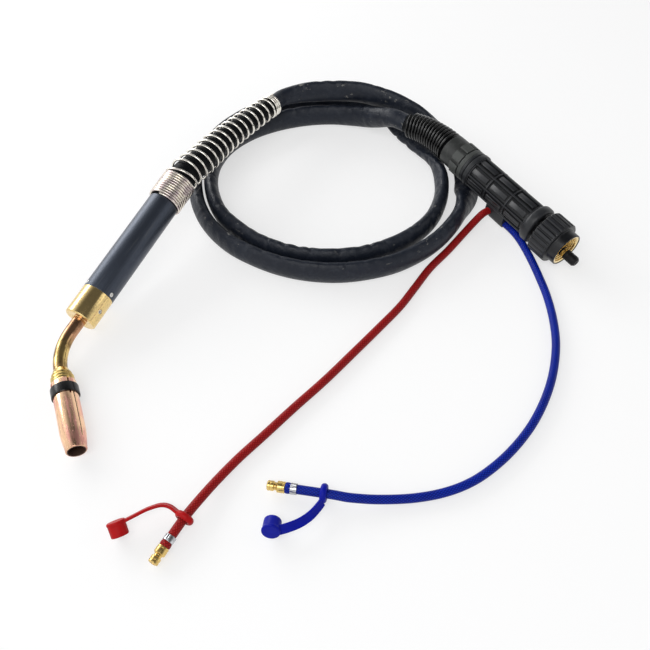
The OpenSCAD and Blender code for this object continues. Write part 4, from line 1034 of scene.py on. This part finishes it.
# the last number of each moulding is the radius past which its raised faces carry painted light
moulded = moulded_finish("black_moulding", (0.0035, 0.004, 0.005), (0.0185, 0.02, 0.023), 19.7)
gland_grey = moulded_finish("gland_moulding", (0.014, 0.0155, 0.0148), (0.062, 0.067, 0.063), 20.3, 0.34)
gland_body = turned("gland_body", [(0, -194), (18.35, -194), (18.95, -193.4), (19.2, -182), (19.35, -176),
    (19.35, -163), (20.55, -162.4), (20.55, -157), (0, -157)], PLUG_PLACE, gland_grey, 0.4, 96)
pad = extruded("pad", mirrored([(4.6, 20.55), (6, 19.6), (6, 16.8)], (0, 20.75)), -176.5, -164, None, None,
    0.4)
softened(pad, 0.25)
pads = set_round("pads", pad, 8, 0, PLUG_PLACE, gland_grey)
seat(joined("gland_nut_moulding", [gland_body, pads]), "gland_nut")

seat(turned("lock_ring_moulding", [(0, -157), (19.95, -157), (20.75, -156.2), (20.75, -153.4),
    (19.55, -152.8), (19.55, -152), (21.45, -151.4), (21.45, -146.6), (20.75, -146), (0, -146)], PLUG_PLACE,
    moulded, 0.3, 96), "lock_ring")


# ---- Housing ----
# Two black shells, screwed together along the middle, carry the connector. Each is ribbed lengthwise
# with raised panels between thin hoops, and the block below lets the two water hoses out.

HOUSING_BACK = -146
HOUSING_FRONT = -53
ROW = 31.0
HOOP = 1.8


def half_of(thing, side):
    """The half of a piece on one side of the joint between the two shells, closed along the cut."""
    half = bmesh.new()
    half.from_mesh(thing.data)
    normal = PLUG_PLACE.to_3x3() @ Vector((0, 0, side))
    cut = PLUG_PLACE.to_translation() + normal * 0.05 * MM
    everything = [*half.verts, *half.edges, *half.faces]
    sliced = bmesh.ops.bisect_plane(half, geom=everything, plane_co=cut, plane_no=normal, clear_inner=True)
    rim = [e for e in sliced["geom_cut"] if isinstance(e, bmesh.types.BMEdge)]
    if rim:
        bmesh.ops.triangle_fill(half, edges=rim, use_beauty=True)
    mesh = bpy.data.meshes.new(thing.name + "_half")
    half.to_mesh(mesh)
    half.free()
    for finish in thing.data.materials:
        mesh.materials.append(finish)
    return linked(thing.name + "_half", mesh)


def housing_pieces():
    made = [turned("core", [(9, HOUSING_BACK), (18.4, HOUSING_BACK), (18.4, HOUSING_FRONT),
        (9, HOUSING_FRONT)], PLUG_PLACE, moulded, 0.1, 96)]
    for row in range(4):
        low = HOUSING_BACK + ROW * row - (HOOP if row else 0)
        hoop = [(17, low), (20.2, low), (20.2, low + HOOP), (17, low + HOOP)]
        made.append(turned("hoop", hoop, PLUG_PLACE, moulded, 0.35, 96))
    rib = extruded("rib", mirrored([(0.7, 21), (1.1, 20.6), (1.1, 15.5)]), HOUSING_BACK, HOUSING_FRONT,
        None, None, 0.3)
    made.append(set_round("ribs", rib, 8, 22.5, PLUG_PLACE, moulded))
    for row in range(3):
        low = HOUSING_BACK + ROW * row + 2.5
        plank = extruded("plank", mirrored([(2.9, 19.75), (3.5, 19.2), (3.5, 15.5)], (0, 19.95)), low,
            low + ROW - 7, None, None, 0.3)
        made.append(set_round("planks", softened(plank, 0.35), 8, 0, PLUG_PLACE, moulded))
    return made


whole = housing_pieces()
upper = [half_of(each, 1) for each in whole]
lower = [half_of(each, -1) for each in whole]
for each in whole:
    bpy.data.objects.remove(each)
outlet = softened(extruded("outlet", [(-17.4, -22), (3, -22), (3, -5), (-19, -5), (-19, -20.4)], -108.5, -80,
    PLUG_PLACE, moulded, 0.6), 0.7, 3)
boss = turned("boss", [(0, -102.5), (5.8, -102.5), (5.8, -80.6), (5.2, -80), (0, -80)],
    PLUG_PLACE @ placed((0, -11, -23.6)), moulded, 0.3, 48)
for name, half in (("housing_upper", upper), ("housing_lower", [*lower, outlet, boss])):
    shell = joined(name + "_moulding", half)
    shell.data.set_sharp_from_angle(angle=math.radians(42))
    seat(shell, name)

seat(turned("flange_ring_moulding", [(13.5, -53), (21.05, -53), (22.6, -51.6), (23.25, -50), (23.25, -44),
    (22.6, -42.4), (21, -41), (13.5, -41)], PLUG_PLACE, moulded, 0.6, 96), "flange_ring")
painted("housing_screws", plated)
painted("current_block", turned_brass("block_brass", PLUG_PLACE))


# ---- Plug ----
# The plug that goes into the feeder: a plastic carrier, an off-centre brass tube for wire and gas with
# its seal, and two sprung signal pins. A black cap covers the end of the tube.

seat(turned("contact_carrier_moulding", [(0, -53), (13.5, -53), (13.5, -31.6), (15.5, -31), (15.5, -28.6),
    (13.5, -28), (13.5, -14.8), (12.7, -14), (11.6, -14), (11.2, -14.4), (10.6, -14.4), (10.2, -14),
    (0, -14)], PLUG_PLACE, moulded, 0.2, 96), "contact_carrier")
TUBE_PLACE = PLUG_PLACE @ placed((0, 0, -5))
plug_brass = turned_brass("plug_brass", TUBE_PLACE, (0.93, 0.74, 0.38), (0.45, 0.28, 0.1), 0.13)
seat(turned("plug_tube_brass", [(2, -53), (5, -53), (5, -14), (7.4, -14), (7.4, -11), (5, -10), (5, -5),
    (4, -5), (4, -3), (5, -3), (5, 11.5), (3.8, 13), (2, 13)], TUBE_PLACE, plug_brass, 0.2, 72),
    "plug_tube")
seal = [(5 + 0.95 * math.cos(a), -4 + 0.95 * math.sin(a)) for a in full_turn(20)]
seat(turned("gas_seal_rubber", seal, TUBE_PLACE, boot_rubber, 0.02, 64), "gas_seal")
for name, y in (("signal_pin_a", -8), ("signal_pin_b", 8)):
    pin = turned(name + "_brass", [(0, -24.5), (1.5, -24.5), (1.5, -8.2), (1.2, -7.3), (0.6, -7), (0, -7)],
        PLUG_PLACE @ placed((0, y, 6)), plug_brass, 0.1, 40)
    seat(pin, name, name.replace("signal_", ""))

cap_rubber = rubber_finish("cap_rubber", (0.004, 0.004, 0.0045), 1.5, 0.36, 0.25)
plug_cap = turned("plug_cap_rubber", [(5.08, 1), (5.98, 1), (5.98, 4.4), (5.8, 4.7), (5.8, 5.2),
    (5.98, 5.5), (5.98, 14.6), (4.08, 17), (2, 17), (1.6, 16), (0, 16), (0, 13.4), (5.08, 13.4)],
    TUBE_PLACE, cap_rubber, 0.25, 72)
seat(plug_cap, "plug_cap", "plug_tube_cap")


# ---- Union nut ----
# The nut pulls the plug home. Its black plastic grip has rounded grooves all round, and the brass
# insert inside it carries the thread.

NUT_FLUTES = 24
GRIP_RADIUS = 25
GROOVE_DEPTH = 1.15
GROOVE_HALF_WIDTH = 1.25
THREAD_RADIUS = 16.5
THREAD_PITCH = 2.0
THREAD_TURNS = 11.5


def grooves(angle, radius, x):
    """Depth of the grip's grooves, which stop short of its ends and leave broad lands between them."""
    grip = np.clip((-11.6 - x) / 1.2, 0, 1) * np.clip((x + 35.9) / 1.0, 0, 1) * (radius > 22)
    step = 2 * math.pi / NUT_FLUTES
    turn = (angle + step / 2) % step - step / 2
    return -GROOVE_DEPTH * np.exp(-(turn * GRIP_RADIUS / GROOVE_HALF_WIDTH) ** 4) * grip


# past 25.6 mm the lands between the grooves carry painted light, and the grooves a painted shade
nut_black = moulded_finish("nut_moulding", (0.0035, 0.004, 0.0055), (0.015, 0.0165, 0.02), 25.6, 0.24)
nut = turned("union_nut_moulding", [(14.2, -36), (24.35, -36), (25.75, -34.6), (25.75, -30), (25.75, -18),
    (25.75, -12.4), (24.35, -11), (21.3, -11), (20.5, -10), (20.5, -0.8), (19.7, 0), (19, 0), (19, -27),
    (16.5, -27), (16.5, -32.4), (14.2, -32.4)], PLUG_PLACE, nut_black, 0.5, 480, grooves)
seat(nut, "union_nut", "nut")

insert_brass = turned_brass("insert_brass", PLUG_PLACE, (0.95, 0.78, 0.44), (0.5, 0.33, 0.13), 0.14)
insert = turned("insert_ring", [(16.5, -27), (19, -27), (19, -0.6), (17.3, -0.6), (16.5, -1.4)], PLUG_PLACE,
    insert_brass, 0.2, 120)
helix = [plug_point(-2.4 - THREAD_PITCH * t, THREAD_RADIUS * math.cos(2 * math.pi * t),
    THREAD_RADIUS * math.sin(2 * math.pi * t)) for t in np.linspace(0, THREAD_TURNS, 792)]
thread = wire_through("thread", helix, 0.62, 8, insert_brass)
seat(joined("nut_insert_brass", [insert, thread]), "nut_insert", "nut")


# ---- Light ----
# Soft light from pale walls under a dark ceiling that leans to the right, with a broad lamp in front, a
# long one behind at the left and a weak one at the right, so that tubes and wires carry bright lines.


def lamp(name, at, towards, size, watts):
    data = bpy.data.lights.new(name, "AREA")
    data.shape = "RECTANGLE"
    data.size, data.size_y = size
    data.energy = watts
    thing = linked(name, data)
    thing.location = at
    thing.rotation_euler = (Vector(towards) - Vector(at)).to_track_quat("-Z", "Y").to_euler()


lamp("in_front", (-0.3, -1.1, 1.7), (0, 0, 0), (1.4, 0.8), 13)
lamp("back_left", (-1.3, 1.05, 0.7), (-0.1, 0, 0), (1.8, 0.7), 20)
lamp("right", (1.5, 0.0, 0.85), (0, 0, 0), (0.9, 0.8), 2)

WALLS = 0.95
CEILING = 0.12
CEILING_WAY = (0.35, 0, 0.937)
room = Finish("room", "worlds")
height = room.node("VectorMath", {0: room.node("TexCoord", out="Generated"), 1: CEILING_WAY},
    out="Value", operation="DOT_PRODUCT")
fade = room.node("MapRange", {"Value": height, "From Min": 0.35, "From Max": 0.85, "To Min": WALLS,
    "To Max": CEILING}, interpolation_type="SMOOTHSTEP")
room.node("OutputWorld", {"Surface": room.node("Background", {"Color": (0.985, 0.99, 1), "Strength": fade})})
bpy.context.scene.world = room.owner
